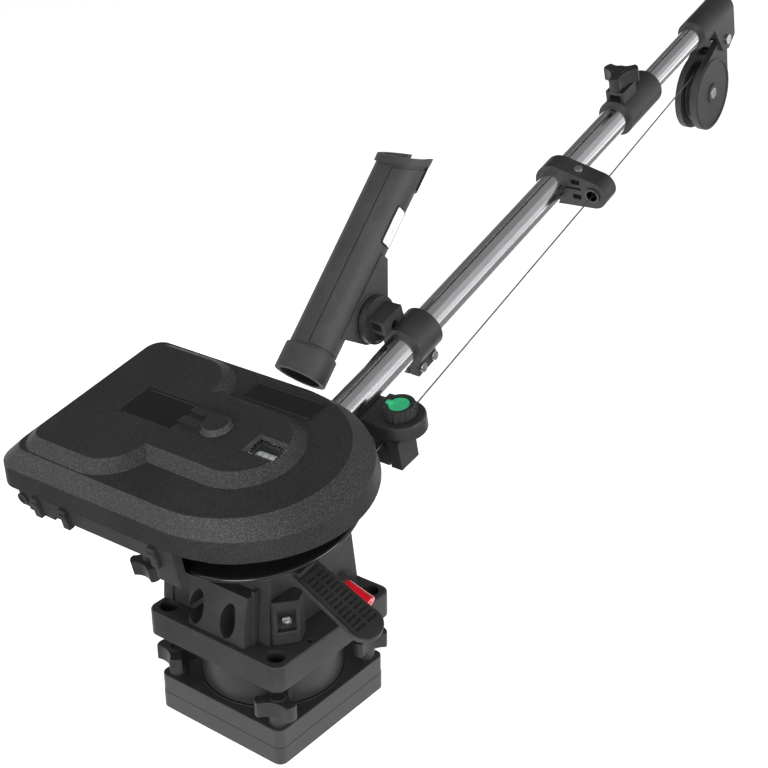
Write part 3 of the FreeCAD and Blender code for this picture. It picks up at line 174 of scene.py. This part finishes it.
def zoned_lid_plastic(name):
    """The cover's plastic: fine grain on its flats, coarse pebbles and a paler tone on its slopes."""
    material, nodes, links, shader = new_material(name)
    texture = nodes.new("ShaderNodeTexCoord")
    coords = texture.outputs["Object"]
    dot = nodes.new("ShaderNodeVectorMath")
    dot.operation = "DOT_PRODUCT"
    dot.inputs[1].default_value = heading(WINCH, Z_AXIS)
    links.new(texture.outputs["Normal"], dot.inputs[0])
    flatness = dot.outputs["Value"]
    slope = ramp(nodes, links, flatness, [(0.18, (0.0,)), (0.34, (1.0,)), (0.9, (1.0,)), (0.975, (0.0,))])
    skirt = ramp(nodes, links, flatness, [(0.12, (1.0,)), (0.3, (0.0,))])
    fine = noise(nodes, links, coords, 800.0, 3.0)
    pebbles = noise(nodes, links, coords, 820.0, 2.5, 0.5)
    slow = noise(nodes, links, coords, 16.0, 5.0, 0.6)
    flat_tone = ramp(nodes, links, fine, [(0.35, grey(0.008)), (0.68, grey(0.044))])
    pebble_tone = ramp(nodes, links, pebbles, [(0.34, grey(0.012)), (0.52, grey(0.03)), (0.7, grey(0.075))])
    skirt_tone = ramp(nodes, links, pebbles, [(0.35, grey(0.006)), (0.66, grey(0.026))])
    tone = mix_colours(nodes, links, slope, flat_tone, pebble_tone)
    tone = mix_colours(nodes, links, skirt, tone, skirt_tone)
    patches = ramp(nodes, links, slow, [(0.3, (0.85,)), (0.7, (1.12,))])
    links.new(mix_colours(nodes, links, 1.0, tone, patches, "MULTIPLY"), shader.inputs["Base Color"])
    links.new(spread(nodes, links, slow, 0.46, 0.6), shader.inputs["Roughness"])
    rough_bump = bump(nodes, links, pebbles, 0.75, 0.00035)
    links.new(bump(nodes, links, fine, 0.5, 0.00007, rough_bump), shader.inputs["Normal"])
    return material


def gloss_plastic(name, colour, rough=0.16, coat=0.4, wander=0.06):
    material, nodes, links, shader = new_material(name)
    coords = nodes.new("ShaderNodeTexCoord").outputs["Object"]
    slow = noise(nodes, links, coords, 40.0, 6.0, 0.65)
    fine = noise(nodes, links, coords, 900.0, 2.0)
    darker = tuple(channel * 0.8 for channel in colour)
    lighter = tuple(min(1.0, channel * 1.15) for channel in colour)
    links.new(ramp(nodes, links, slow, [(0.3, darker), (0.7, lighter)]), shader.inputs["Base Color"])
    links.new(spread(nodes, links, slow, rough - wander, rough + wander), shader.inputs["Roughness"])
    links.new(bump(nodes, links, fine, 0.15, 0.00003), shader.inputs["Normal"])
    shader.inputs["Coat Weight"].default_value = coat
    shader.inputs["Coat Roughness"].default_value = 0.08
    return material


def metal(name, level, rough, stretch, streak=0.3, scale=120.0, turn=0.0, relief=0.12):
    """Bare metal with faint drawn or turned streaks."""
    material, nodes, links, shader = new_material(name)
    coords = nodes.new("ShaderNodeTexCoord").outputs["Object"]
    streaks = noise(nodes, links, coords, scale, 4.0, 0.6, stretch, turn)
    slow = noise(nodes, links, coords, 9.0, 2.0)
    shader.inputs["Metallic"].default_value = 1.0
    tone = ramp(nodes, links, streaks, [(0.3, grey(level * 0.9)), (0.7, grey(level))])
    haze = ramp(nodes, links, slow, [(0.3, (0.94,)), (0.7, (1.0,))])
    links.new(mix_colours(nodes, links, 1.0, tone, haze, "MULTIPLY"), shader.inputs["Base Color"])
    links.new(spread(nodes, links, streaks, rough * (1 - streak), rough * (1 + streak)),
              shader.inputs["Roughness"])
    links.new(bump(nodes, links, streaks, relief, 0.00002), shader.inputs["Normal"])
    return material


def clear_window(name):
    material, nodes, links, shader = new_material(name)
    coords = nodes.new("ShaderNodeTexCoord").outputs["Object"]
    slow = noise(nodes, links, coords, 60.0, 4.0)
    links.new(spread(nodes, links, slow, 0.03, 0.1), shader.inputs["Roughness"])
    links.new(ramp(nodes, links, slow, [(0.3, (0.8, 0.84, 0.84)), (0.7, (0.88, 0.9, 0.9))]),
              shader.inputs["Base Color"])
    shader.inputs["Transmission Weight"].default_value = 1.0
    shader.inputs["IOR"].default_value = 1.2
    return material


BOOM_GRAIN = (0.02, 1.0, 1.0)
MATERIALS = {
    "molded_black": grained_plastic("moulded_black_plastic", 0.03, height=0.00009, rough=(0.36, 0.5)),
    "knob_black": grained_plastic("knob_black_plastic", 0.022, 1800.0, 0.00004, (0.34, 0.5)),
    "lid_black": zoned_lid_plastic("lid_pebbled_plastic"),
    "rod_holder_black": grained_plastic("rod_holder_grained_plastic", 0.046, 1300.0, 0.00012, (0.5, 0.66)),
    "spool_black": gloss_plastic("spool_gloss_plastic", (0.01, 0.01, 0.011), 0.14),
    "boom_chrome": metal("boom_polished_chrome", 0.84, 0.15, BOOM_GRAIN, 0.06, 260.0, 20.0, 0.002),
    "steel": metal("brushed_steel", 0.62, 0.26, (1.0, 1.0, 0.1)),
    "line": metal("line_dull_steel", 0.2, 0.45, (1.0, 1.0, 1.0), 0.3, 1800.0),
    "motor_paint": grained_plastic("motor_paint", 0.05, 700.0, 0.00004, (0.35, 0.45)),
    "belt_rubber": grained_plastic("rubber", 0.016, 1000.0, 0.0001, (0.62, 0.8)),
    "sheave_plastic": gloss_plastic("sheave_satin_plastic", (0.03, 0.03, 0.031), 0.3, 0.1),
    "red_plastic": gloss_plastic("red_gloss_plastic", (0.66, 0.008, 0.022), 0.2, 0.5),
    "green_plastic": gloss_plastic("green_satin_plastic", (0.045, 0.62, 0.27), 0.34, 0.2),
    "counter_white": grained_plastic("counter_white_plastic", 0.62, 900.0, 0.00003, (0.35, 0.5), 0.05),
    "window_clear": clear_window("window_clear_plastic"),
}
LABEL_WHITE = gloss_plastic("label_white_vinyl", (0.78, 0.78, 0.77), 0.3, 0.2)
SATIN_BLACK = gloss_plastic("badge_satin_black", (0.005, 0.005, 0.0055), 0.2, 0.3)


DARK_STEEL = metal("dark_steel", 0.09, 0.3, (1.0, 1.0, 0.1))


def dress(obj, slot_name, material=None):
    """Give a piece the material of one of the record's slots, or a variant of it."""
    obj.data.materials.clear()
    obj.data.materials.append(material or MATERIALS[slot_name])


slot_of = {part["node"]: part["material_slot"] for part in frame["record"]["subparts"]}
for node_name, node in frame["nodes"].items():
    dress(node, slot_of[node_name])
dress(frame["nodes"]["fairlead_ring"], "steel", DARK_STEEL)


# Softened edges -----------------------------------------------------------------------------------
# Each CAD node keeps its mesh; modifiers merge its split corners, melt its flat triangles together and
# round its sharp edges by a small radius.

EDGE_RADIUS = 0.8 * MM
FINE_EDGE_RADIUS = 0.3 * MM
FINE_NODES = {"lever_pad", "switch_knob", "switch_insert", "counter_wheels", "counter_case", "drive_belt",
              "fairlead_ring", "clamp_arm", "boom_screws", "sheave", "spool_pulley", "motor_pulley",
              "window_pane", "head_bolt", "rod_pivot_bolt", "sheave_pin", "lock_pin", "line_low",
              "outer_tube", "inner_tube"}
UNMELTED_NODES = {"lever_pad"}  # melting breaks the face between its slots
SHARP_ANGLE = math.radians(32)
WELD_GAP = 0.01 * MM
MELT_ANGLE = math.radians(0.6)
EDGE_SEGMENTS = 2
NORMAL_WEIGHT = 80


def soften(obj, radius):
    weld = obj.modifiers.new("weld", "WELD")
    weld.merge_threshold = WELD_GAP
    if obj.name not in UNMELTED_NODES:
        melt = obj.modifiers.new("melt", "DECIMATE")
        melt.decimate_type = "DISSOLVE"
        melt.angle_limit = MELT_ANGLE
    bevel = obj.modifiers.new("bevel", "BEVEL")
    bevel.width = radius
    bevel.segments = EDGE_SEGMENTS
    bevel.limit_method = "ANGLE"
    bevel.angle_limit = SHARP_ANGLE
    bevel.miter_outer = "MITER_ARC"
    bevel.use_clamp_overlap = True
    smooth_faces(obj)
    even = obj.modifiers.new("even", "WEIGHTED_NORMAL")
    even.keep_sharp = False
    even.weight = NORMAL_WEIGHT


def smooth_faces(obj):
    obj.data.polygons.foreach_set("use_smooth", [True] * len(obj.data.polygons))


for node_name, node in frame["nodes"].items():
    soften(node, FINE_EDGE_RADIUS if node_name in FINE_NODES else EDGE_RADIUS)


# Small pieces -------------------------------------------------------------------------------------

def mesh_object(name, mesh_data):
    obj = bpy.data.objects.new(name, mesh_data)
    bpy.context.scene.collection.objects.link(obj)
    return obj


def built_object(name, build, turn_outward=True):
    """A smooth object from a bmesh builder."""
    shape = bmesh.new()
    build(shape)
    if turn_outward:
        bmesh.ops.recalc_face_normals(shape, faces=shape.faces)
    mesh_data = bpy.data.meshes.new(name)
    shape.to_mesh(mesh_data)
    shape.free()
    obj = mesh_object(name, mesh_data)
    smooth_faces(obj)
    return obj


def piece(name, build, body, slot_name, material=None):
    """A new piece from a bmesh builder, in place, riding on a body."""
    obj = built_object(name, build)
    obj.data.set_sharp_from_angle(angle=SHARP_ANGLE)
    dress(obj, slot_name, material)
    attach(obj, body)


def basis(centre, normal, along):
    """A matrix whose Z is the normal and whose X is as near as it can be to along."""
    up = normal.normalized()
    side = (along - up * along.dot(up)).normalized()
    across = up.cross(side)
    turn = Matrix((side, across, up)).transposed().to_4x4()
    return Matrix.Translation(centre) @ turn


def rounded_rectangle(half_x, half_y, corner, steps=6):
    points = []
    for quarter, (sx, sy) in enumerate(((1, 1), (-1, 1), (-1, -1), (1, -1))):
        centre = Vector((sx * (half_x - corner), sy * (half_y - corner)))
        for step in range(steps + 1):
            turn = math.radians(90 * (quarter + step / steps))
            points.append(centre + corner * Vector((math.cos(turn), math.sin(turn))))
    return points


def circle(radius, count=40):
    return [Vector((radius * math.cos(2 * math.pi * i / count), radius * math.sin(2 * math.pi * i / count)))
            for i in range(count)]


SCREW_POINTS = 42


def hexagon(radius, count=SCREW_POINTS):
    """A hexagon drawn with as many points as a circle, so that the two can be joined by a ring of faces."""
    points = []
    for step in range(count):
        turn = 2 * math.pi * step / count
        reach = radius * math.cos(math.pi / 6) / math.cos((turn % (math.pi / 3)) - math.pi / 6)
        points.append(Vector((reach * math.cos(turn), reach * math.sin(turn))))
    return points


def join_rings(shape, rings):
    """Faces between neighbouring rings of vertices, which all have the same number of points."""
    for lower, upper in zip(rings, rings[1:]):
        for i in range(len(lower)):
            j = (i + 1) % len(lower)
            shape.faces.new((lower[i], lower[j], upper[j], upper[i]))


def stack(shape, matrix, rings, cap_low=True, cap_high=True):
    """Skin a pile of outlines with the same number of points. Each ring is (outline, height)."""
    made = []
    for outline, height in rings:
        made.append([shape.verts.new(matrix @ (Vector((p.x, p.y, height)) * MM)) for p in outline])
    join_rings(shape, made)
    if cap_low:
        shape.faces.new(made[0][::-1])
    if cap_high:
        shape.faces.new(made[-1])


PLATE_EDGE = 0.3
PLATE_SINK = 0.4


def framed_plate(half_x, half_y, corner, height, rim):
    """Rings of a plate with a raised rounded rim and a sunk middle."""
    def outline(rim_inset, edge_inset):
        return rounded_rectangle(half_x - rim_inset - edge_inset, half_y - rim_inset - edge_inset,
                                 corner - rim_inset - edge_inset)
    return [(outline(0, 0), -PLATE_SINK),
            (outline(0, 0), height - PLATE_EDGE),
            (outline(0, PLATE_EDGE), height),
            (outline(rim, 0), height),
            (outline(rim, PLATE_EDGE), height - PLATE_SINK)]


HEAD_TOP = 0.45
HEAD_CHAMFER = 0.35
SOCKET_SHARE = 0.52
SOCKET_DEPTH = 1.2


def hex_socket_rings(radius):
    """Rings of a screw head with a chamfer and a hexagon socket."""
    socket = radius * SOCKET_SHARE
    return [(circle(radius, SCREW_POINTS), -0.2), (circle(radius, SCREW_POINTS), 0.1),
            (circle(radius - HEAD_CHAMFER, SCREW_POINTS), HEAD_TOP),
            (hexagon(socket + 0.15), HEAD_TOP), (hexagon(socket), 0.3),
            (hexagon(socket), HEAD_TOP - SOCKET_DEPTH)]


def screw(name, centre, normal, radius, body):
    def build(shape):
        stack(shape, basis(centre, normal, Z_AXIS + X_AXIS * 0.3), hex_socket_rings(radius))
    piece(name, build, body, "steel")


# Silver screws: in the lock block's sunk panel, on the rod clamp's ears and on the rod holder's pivot.
LOCK_NORMAL = Vector((-14, -18, 0)).normalized()
LOCK_FACE = Vector((-45, -61, 132)) * MM
LOCK_SCREW_SINK = 1.4
CLAMP_SCREW_STATIONS = (113, 132)
CLAMP_SCREW_SIDE = -14
CLAMP_SCREW_DROP = -26
CLAMP_SCREW_R = 4.6
PIVOT_FACE = (0, 9.3, 0)
PIVOT_BOLT_R = 8.4


def lock_screw_shape(shape):
    """A domed head, from its rim at 4.6 mm to a hexagon socket at 1.8 mm."""
    matrix = basis(LOCK_FACE - LOCK_NORMAL * LOCK_SCREW_SINK * MM, LOCK_NORMAL, Z_AXIS)
    dome = [(4.6, 0.0), (4.6, 0.8), (3.9, 1.9), (2.6, 2.4)]
    socket = [(1.9, 2.4), (1.8, 0.9)]
    stack(shape, matrix, [(circle(radius, SCREW_POINTS), height) for radius, height in dome]
          + [(hexagon(radius), height) for radius, height in socket])


piece("lock_block_screw", lock_screw_shape, "turntable", "steel")
for index, station in enumerate(CLAMP_SCREW_STATIONS, 1):
    screw(f"clamp_screw_socket_{index}", place(BOOM, (station, CLAMP_SCREW_SIDE, CLAMP_SCREW_DROP)),
          heading(BOOM, -Y_AXIS), CLAMP_SCREW_R, "turntable")
screw("pivot_bolt_socket", place(ROD_HOLDER, PIVOT_FACE), heading(ROD_HOLDER, Y_AXIS), PIVOT_BOLT_R,
      "turntable")


# A blank badge on the lid's shelf, and its twin sunk in the plateau's panel.
def blank_plate(centre, *plate):
    """A builder of a framed plate lying on the lid."""
    def build(shape):
        stack(shape, WINCH @ Matrix.Translation(Vector(centre) * MM), framed_plate(*plate))
    return build


# Centre, half sizes along X and Y, corner radius, height and rim width, in millimetres.
BADGE = ((68.5, 12.5, 82.0), 12.5, 40.5, 2.0, 0.9, 1.2)
PANEL = ((1, 102, 89.8), 19.0, 31.0, 3.0, 0.7, 1.0)
piece("shelf_badge_blank", blank_plate(*BADGE), "turntable", "lid_black", SATIN_BLACK)
piece("plateau_panel_blank", blank_plate(*PANEL), "turntable", "lid_black", SATIN_BLACK)


# The rod tube's blank label and the groove round its panel. Both follow the tube's round side.
ROD_AXIS_Y = 26.5
ROD_AXIS_Z = 28.5
ROD_RADIUS = 23.5


def on_rod_tube(along, degrees, height):
    turn = math.radians(degrees)
    radius = ROD_RADIUS + height
    return place(ROD_HOLDER, (along, ROD_AXIS_Y + radius * math.cos(turn),
                              ROD_AXIS_Z + radius * math.sin(turn)))


TOP_SHARES = (0.8, 0.6, 0.4, 0.2, 0.02)


def wrapped_plate(middle, degrees, half_length, half_width, corner, levels):
    """A builder of a rounded plate bent round the rod tube. Levels are (inset, height above the tube);
    the top is filled with narrower and narrower rings, so that it follows the tube's curve."""
    def build(shape):
        rings = []
        last_inset, last_height = levels[-1]
        rows = [(inset, height, 1.0) for inset, height in levels]
        rows += [(last_inset, last_height, share) for share in TOP_SHARES]
        for inset, height, share in rows:
            outline = rounded_rectangle(half_length - inset, half_width - inset, corner - inset)
            turns = [degrees + math.degrees(p.y * share / ROD_RADIUS) for p in outline]
            rings.append([shape.verts.new(on_rod_tube(middle + p.x, turn, height))
                          for p, turn in zip(outline, turns)])
        join_rings(shape, rings)
        shape.faces.new(rings[-1])
    return build


LABEL_AT = (84.5, -175.0)
FRAME_LEVELS = [(0, -0.6), (0, 0.9), (0.4, 1.2), (1.3, 1.2), (1.6, 0.8)]
BLANK_LEVELS = [(0, 0.4), (0, 0.95), (0.2, 1.0)]
piece("rod_label_frame", wrapped_plate(*LABEL_AT, 21.0, 9.0, 3.5, FRAME_LEVELS),
      "rod_holder", "rod_holder_black", SATIN_BLACK)
piece("rod_label_blank", wrapped_plate(*LABEL_AT, 19.2, 7.2, 2.0, BLANK_LEVELS),
      "rod_holder", "rod_holder_black", LABEL_WHITE)


# The pulley's near face: a raised rim near its edge and a boss round the pin.
PULLEY_R = 45.0
PULLEY_HALF = 14.0
PULLEY_FACE = Vector((792, -20 - PULLEY_HALF, 438)) * MM
RING_POINTS = 72
RING_EDGE = 0.4
RING_FOOT = -0.3


def raised_ring(outer, width, height):
    """A builder of a low ring on the pulley's near face."""
    def build(shape):
        matrix = basis(PULLEY_FACE, -Y_AXIS, Z_AXIS)
        section = [(outer, RING_FOOT), (outer, height - RING_EDGE), (outer - RING_EDGE, height),
                   (outer - width + RING_EDGE, height), (outer - width, height - RING_EDGE),
                   (outer - width, RING_FOOT)]
        stack(shape, matrix, [(circle(radius, RING_POINTS), level) for radius, level in section],
              cap_low=False, cap_high=False)
    return build


piece("pulley_face_rim", raised_ring(PULLEY_R - 2.5, 2.4, 1.1), "pulley_block", "molded_black")
piece("pulley_face_boss", raised_ring(12.0, 4.6, 1.9), "pulley_block", "molded_black")


# The green disc's pointer.
DISC_TOP = (128, -70, 65.0)
POINTER_TURN = math.radians(100)
POINTER_REACH = 9.5


def pointer_shape(shape):
    disc = WINCH @ Matrix.Translation(Vector(DISC_TOP) * MM) @ Matrix.Rotation(POINTER_TURN, 4, "Z")
    matrix = disc @ Matrix.Translation(Vector((POINTER_REACH, 0, 0)) * MM)
    stack(shape, matrix, [(rounded_rectangle(3.4, 2.6, 1.4), -2.0), (rounded_rectangle(3.4, 2.6, 1.4), 0.9),
                          (rounded_rectangle(2.8, 2.0, 1.0), 1.5)])


piece("switch_pointer", pointer_shape, "switch_body", "green_plastic")


# The line ------------------------------------------------------------------------------------------

LINE_RADIUS = 0.8
SHEAVE_CENTRE = Vector((792, -20, 438))
GROOVE_RADIUS = 33.0
GROOVE_GAP = 0.2
WRAP_RADIUS = GROOVE_RADIUS + LINE_RADIUS + GROOVE_GAP


def tube_along(points, radius, sides=10):
    """A builder of a tube through points given in metres, with its ends closed."""
    def build(shape):
        rings = []
        for index, point in enumerate(points):
            before = points[max(index - 1, 0)]
            after = points[min(index + 1, len(points) - 1)]
            matrix = basis(point, after - before, Y_AXIS)
            rings.append([shape.verts.new(matrix @ (Vector((p.x, p.y, 0)) * MM))
                          for p in circle(radius, sides)])
        join_rings(shape, rings)
        shape.faces.new(rings[0][::-1])
        shape.faces.new(rings[-1])
    return build


RING_CENTRE = place(BOOM, (413, -45, -5))
away = SHEAVE_CENTRE * MM - RING_CENTRE
away.y = 0
lift = math.atan2(away.z, away.x) + math.asin(WRAP_RADIUS * MM / away.length)


def on_sheave(turn):
    """A point of the line on the sheave, at an angle past where it first touches."""
    angle = lift - turn
    return (SHEAVE_CENTRE + Vector((-WRAP_RADIUS * math.sin(angle), 0, WRAP_RADIUS * math.cos(angle)))) * MM


touch = on_sheave(0)
JOIN_SHARE = 0.93
join = RING_CENTRE.lerp(touch, JOIN_SHARE)
FREE_STEPS = 40
NEAR_STEPS = 16
WRAP_STEPS = 48
WRAP_TURN = math.radians(235)


def free_line(name, start, end, steps):
    points = [start.lerp(end, i / steps) for i in range(steps + 1)]
    obj = built_object(name, tube_along(points, LINE_RADIUS), turn_outward=False)
    dress(obj, "line")
    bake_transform(obj)
    return obj


far_line = free_line("line_guide_to_head", RING_CENTRE, join, FREE_STEPS)
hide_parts("line_high")
free_line("line_head_to_sheave", join, touch, NEAR_STEPS)
wrap_points = [on_sheave(WRAP_TURN * i / WRAP_STEPS) for i in range(WRAP_STEPS + 1)]
piece("line_round_sheave", tube_along(wrap_points, LINE_RADIUS), "pulley_block", "line")


# Studio -------------------------------------------------------------------------------------------

CAMERA_AT = Vector((-0.78842, -0.74271, 0.81278))
CAMERA_YAW = math.radians(37.658)
CAMERA_PITCH = math.radians(-24.377)
CAMERA_ROLL = math.radians(-0.357)
CAMERA_LENS = 64.65
CAMERA_SENSOR = 36.0
CAMERA_NEAR = 0.05
CAMERA_FAR = 60.0
FLOOR_HALF = 9.0
TARGET = (0.15, 0, 0.3)
OVERHEAD_HEIGHT = 2.2
FLOOR_CARD_HEIGHT = 0.002
WORLD_STRENGTH = 0.95
CARD_DIM_SHARE = 0.85

# Level cards: name, low corner, high corner, height, brightness.
LEVEL_CARDS = [
    ("flag_overhead_near", (-2.5, -4.0), (4.0, -1.12), OVERHEAD_HEIGHT, 0.5),
    ("flag_overhead_middle", (-2.5, -1.1), (4.0, 0.34), OVERHEAD_HEIGHT, 0.27),
    ("flag_overhead", (-2.5, 0.35), (4.0, 0.9), OVERHEAD_HEIGHT, 0.05),
    ("flag_overhead_far", (-2.5, 0.95), (9.0, 9.0), OVERHEAD_HEIGHT, 0.15),
    ("flag_floor_side", (-3.0, -3.0), (3.0, -0.16), FLOOR_CARD_HEIGHT, 0.28),
    ("flag_floor_front", (-3.0, -0.155), (-0.13, 3.0), FLOOR_CARD_HEIGHT, 0.16),
]
STRIP_CORNERS = [(-0.6, -2.5, 0.3), (4.2, -2.5, 0.3), (4.2, -2.5, 1.35), (-0.6, -2.5, 1.35)]
STRIP_LEVEL = 0.85

# Lights: name, position, size, power in watts.
LIGHTS = [
    ("key", (-1.2, 1.6, 2.2), (1.6, 1.6), 14.0),
    ("fill", (0.4, -2.4, 0.8), (1.2, 1.4), 26.0),
    ("front", (-2.4, -0.5, 0.7), (1.2, 1.0), 26.0),
]


def make_camera():
    data = bpy.data.cameras.new("camera")
    data.lens = CAMERA_LENS
    data.sensor_width = CAMERA_SENSOR
    data.clip_start = CAMERA_NEAR
    data.clip_end = CAMERA_FAR
    camera = bpy.data.objects.new("camera", data)
    bpy.context.scene.collection.objects.link(camera)
    level = math.cos(CAMERA_PITCH)
    forward = Vector((math.cos(CAMERA_YAW) * level, math.sin(CAMERA_YAW) * level, math.sin(CAMERA_PITCH)))
    right = forward.cross(Z_AXIS).normalized()
    up = right.cross(forward)
    turned_right = right * math.cos(CAMERA_ROLL) + up * math.sin(CAMERA_ROLL)
    turned_up = turned_right.cross(forward)
    turn = Matrix((turned_right, turned_up, -forward)).transposed().to_4x4()
    camera.matrix_world = Matrix.Translation(CAMERA_AT) @ turn
    bpy.context.scene.camera = camera


def area_light(name, position, target, size, power):
    data = bpy.data.lights.new(name, "AREA")
    data.shape = "RECTANGLE"
    data.size, data.size_y = size
    data.energy = power
    light = bpy.data.objects.new(name, data)
    bpy.context.scene.collection.objects.link(light)
    light.location = position
    direction = Vector(target) - Vector(position)
    light.rotation_mode = "QUATERNION"
    light.rotation_quaternion = direction.to_track_quat("-Z", "Y")


def floor_material():
    material, nodes, links, shader = new_material("studio_floor")
    coords = nodes.new("ShaderNodeTexCoord").outputs["Object"]
    slow = noise(nodes, links, coords, 3.0, 3.0)
    links.new(ramp(nodes, links, slow, [(0.3, (0.97,)), (0.7, (0.985,))]), shader.inputs["Base Color"])
    shader.inputs["Roughness"].default_value = 0.9
    shader.inputs["Specular IOR Level"].default_value = 0.1
    shader.inputs["Emission Color"].default_value = (1, 1, 1, 1)
    shader.inputs["Emission Strength"].default_value = 0.72
    return material


def flat_sheet(name, corners, material):
    mesh_data = bpy.data.meshes.new(name)
    mesh_data.from_pydata([tuple(corner) for corner in corners], [], [tuple(range(len(corners)))])
    obj = mesh_object(name, mesh_data)
    obj.data.materials.append(material)
    return obj


def make_world(strength):
    world = bpy.data.worlds.new("studio_world")
    world.use_nodes = True
    background = world.node_tree.nodes["Background"]
    background.inputs["Color"].default_value = (1.0, 1.0, 1.0, 1)
    background.inputs["Strength"].default_value = strength
    bpy.context.scene.world = world


def reflector(name, corners, level, shades=False):
    """A flat card hidden from the camera: what a real studio's walls and flags put into chrome. One that
    shades also hides the bright surroundings from above, so that flat tops stay darker than sides."""
    material, nodes, links, shader = new_material(name)
    coords = nodes.new("ShaderNodeTexCoord").outputs["Object"]
    slow = noise(nodes, links, coords, 1.5, 2.0)
    shader.inputs["Base Color"].default_value = (0, 0, 0, 1)
    shader.inputs["Specular IOR Level"].default_value = 0.0
    shader.inputs["Emission Strength"].default_value = 1.0
    links.new(ramp(nodes, links, slow, [(0.3, (level * CARD_DIM_SHARE,)), (0.7, (level,))]),
              shader.inputs["Emission Color"])
    card = flat_sheet(name, corners, material)
    card.visible_camera = False
    card.visible_diffuse = shades
    card.visible_shadow = False
    card.visible_transmission = False
    card.visible_volume_scatter = False


def level_corners(low, high, height):
    return [(low[0], low[1], height), (high[0], low[1], height),
            (high[0], high[1], height), (low[0], high[1], height)]


def level_card(name, low, high, height, level):
    reflector(name, level_corners(low, high, height), level, shades=height == OVERHEAD_HEIGHT)


make_camera()
flat_sheet("studio_floor", level_corners((-FLOOR_HALF, -FLOOR_HALF), (FLOOR_HALF, FLOOR_HALF), 0),
           floor_material())
for card in LEVEL_CARDS:
    level_card(*card)
reflector("strip_box", STRIP_CORNERS, STRIP_LEVEL)
for light_name, position, size, power in LIGHTS:
    area_light(light_name, position, TARGET, size, power)
make_world(WORLD_STRENGTH)
bpy.context.scene.view_settings.view_transform = "Standard"
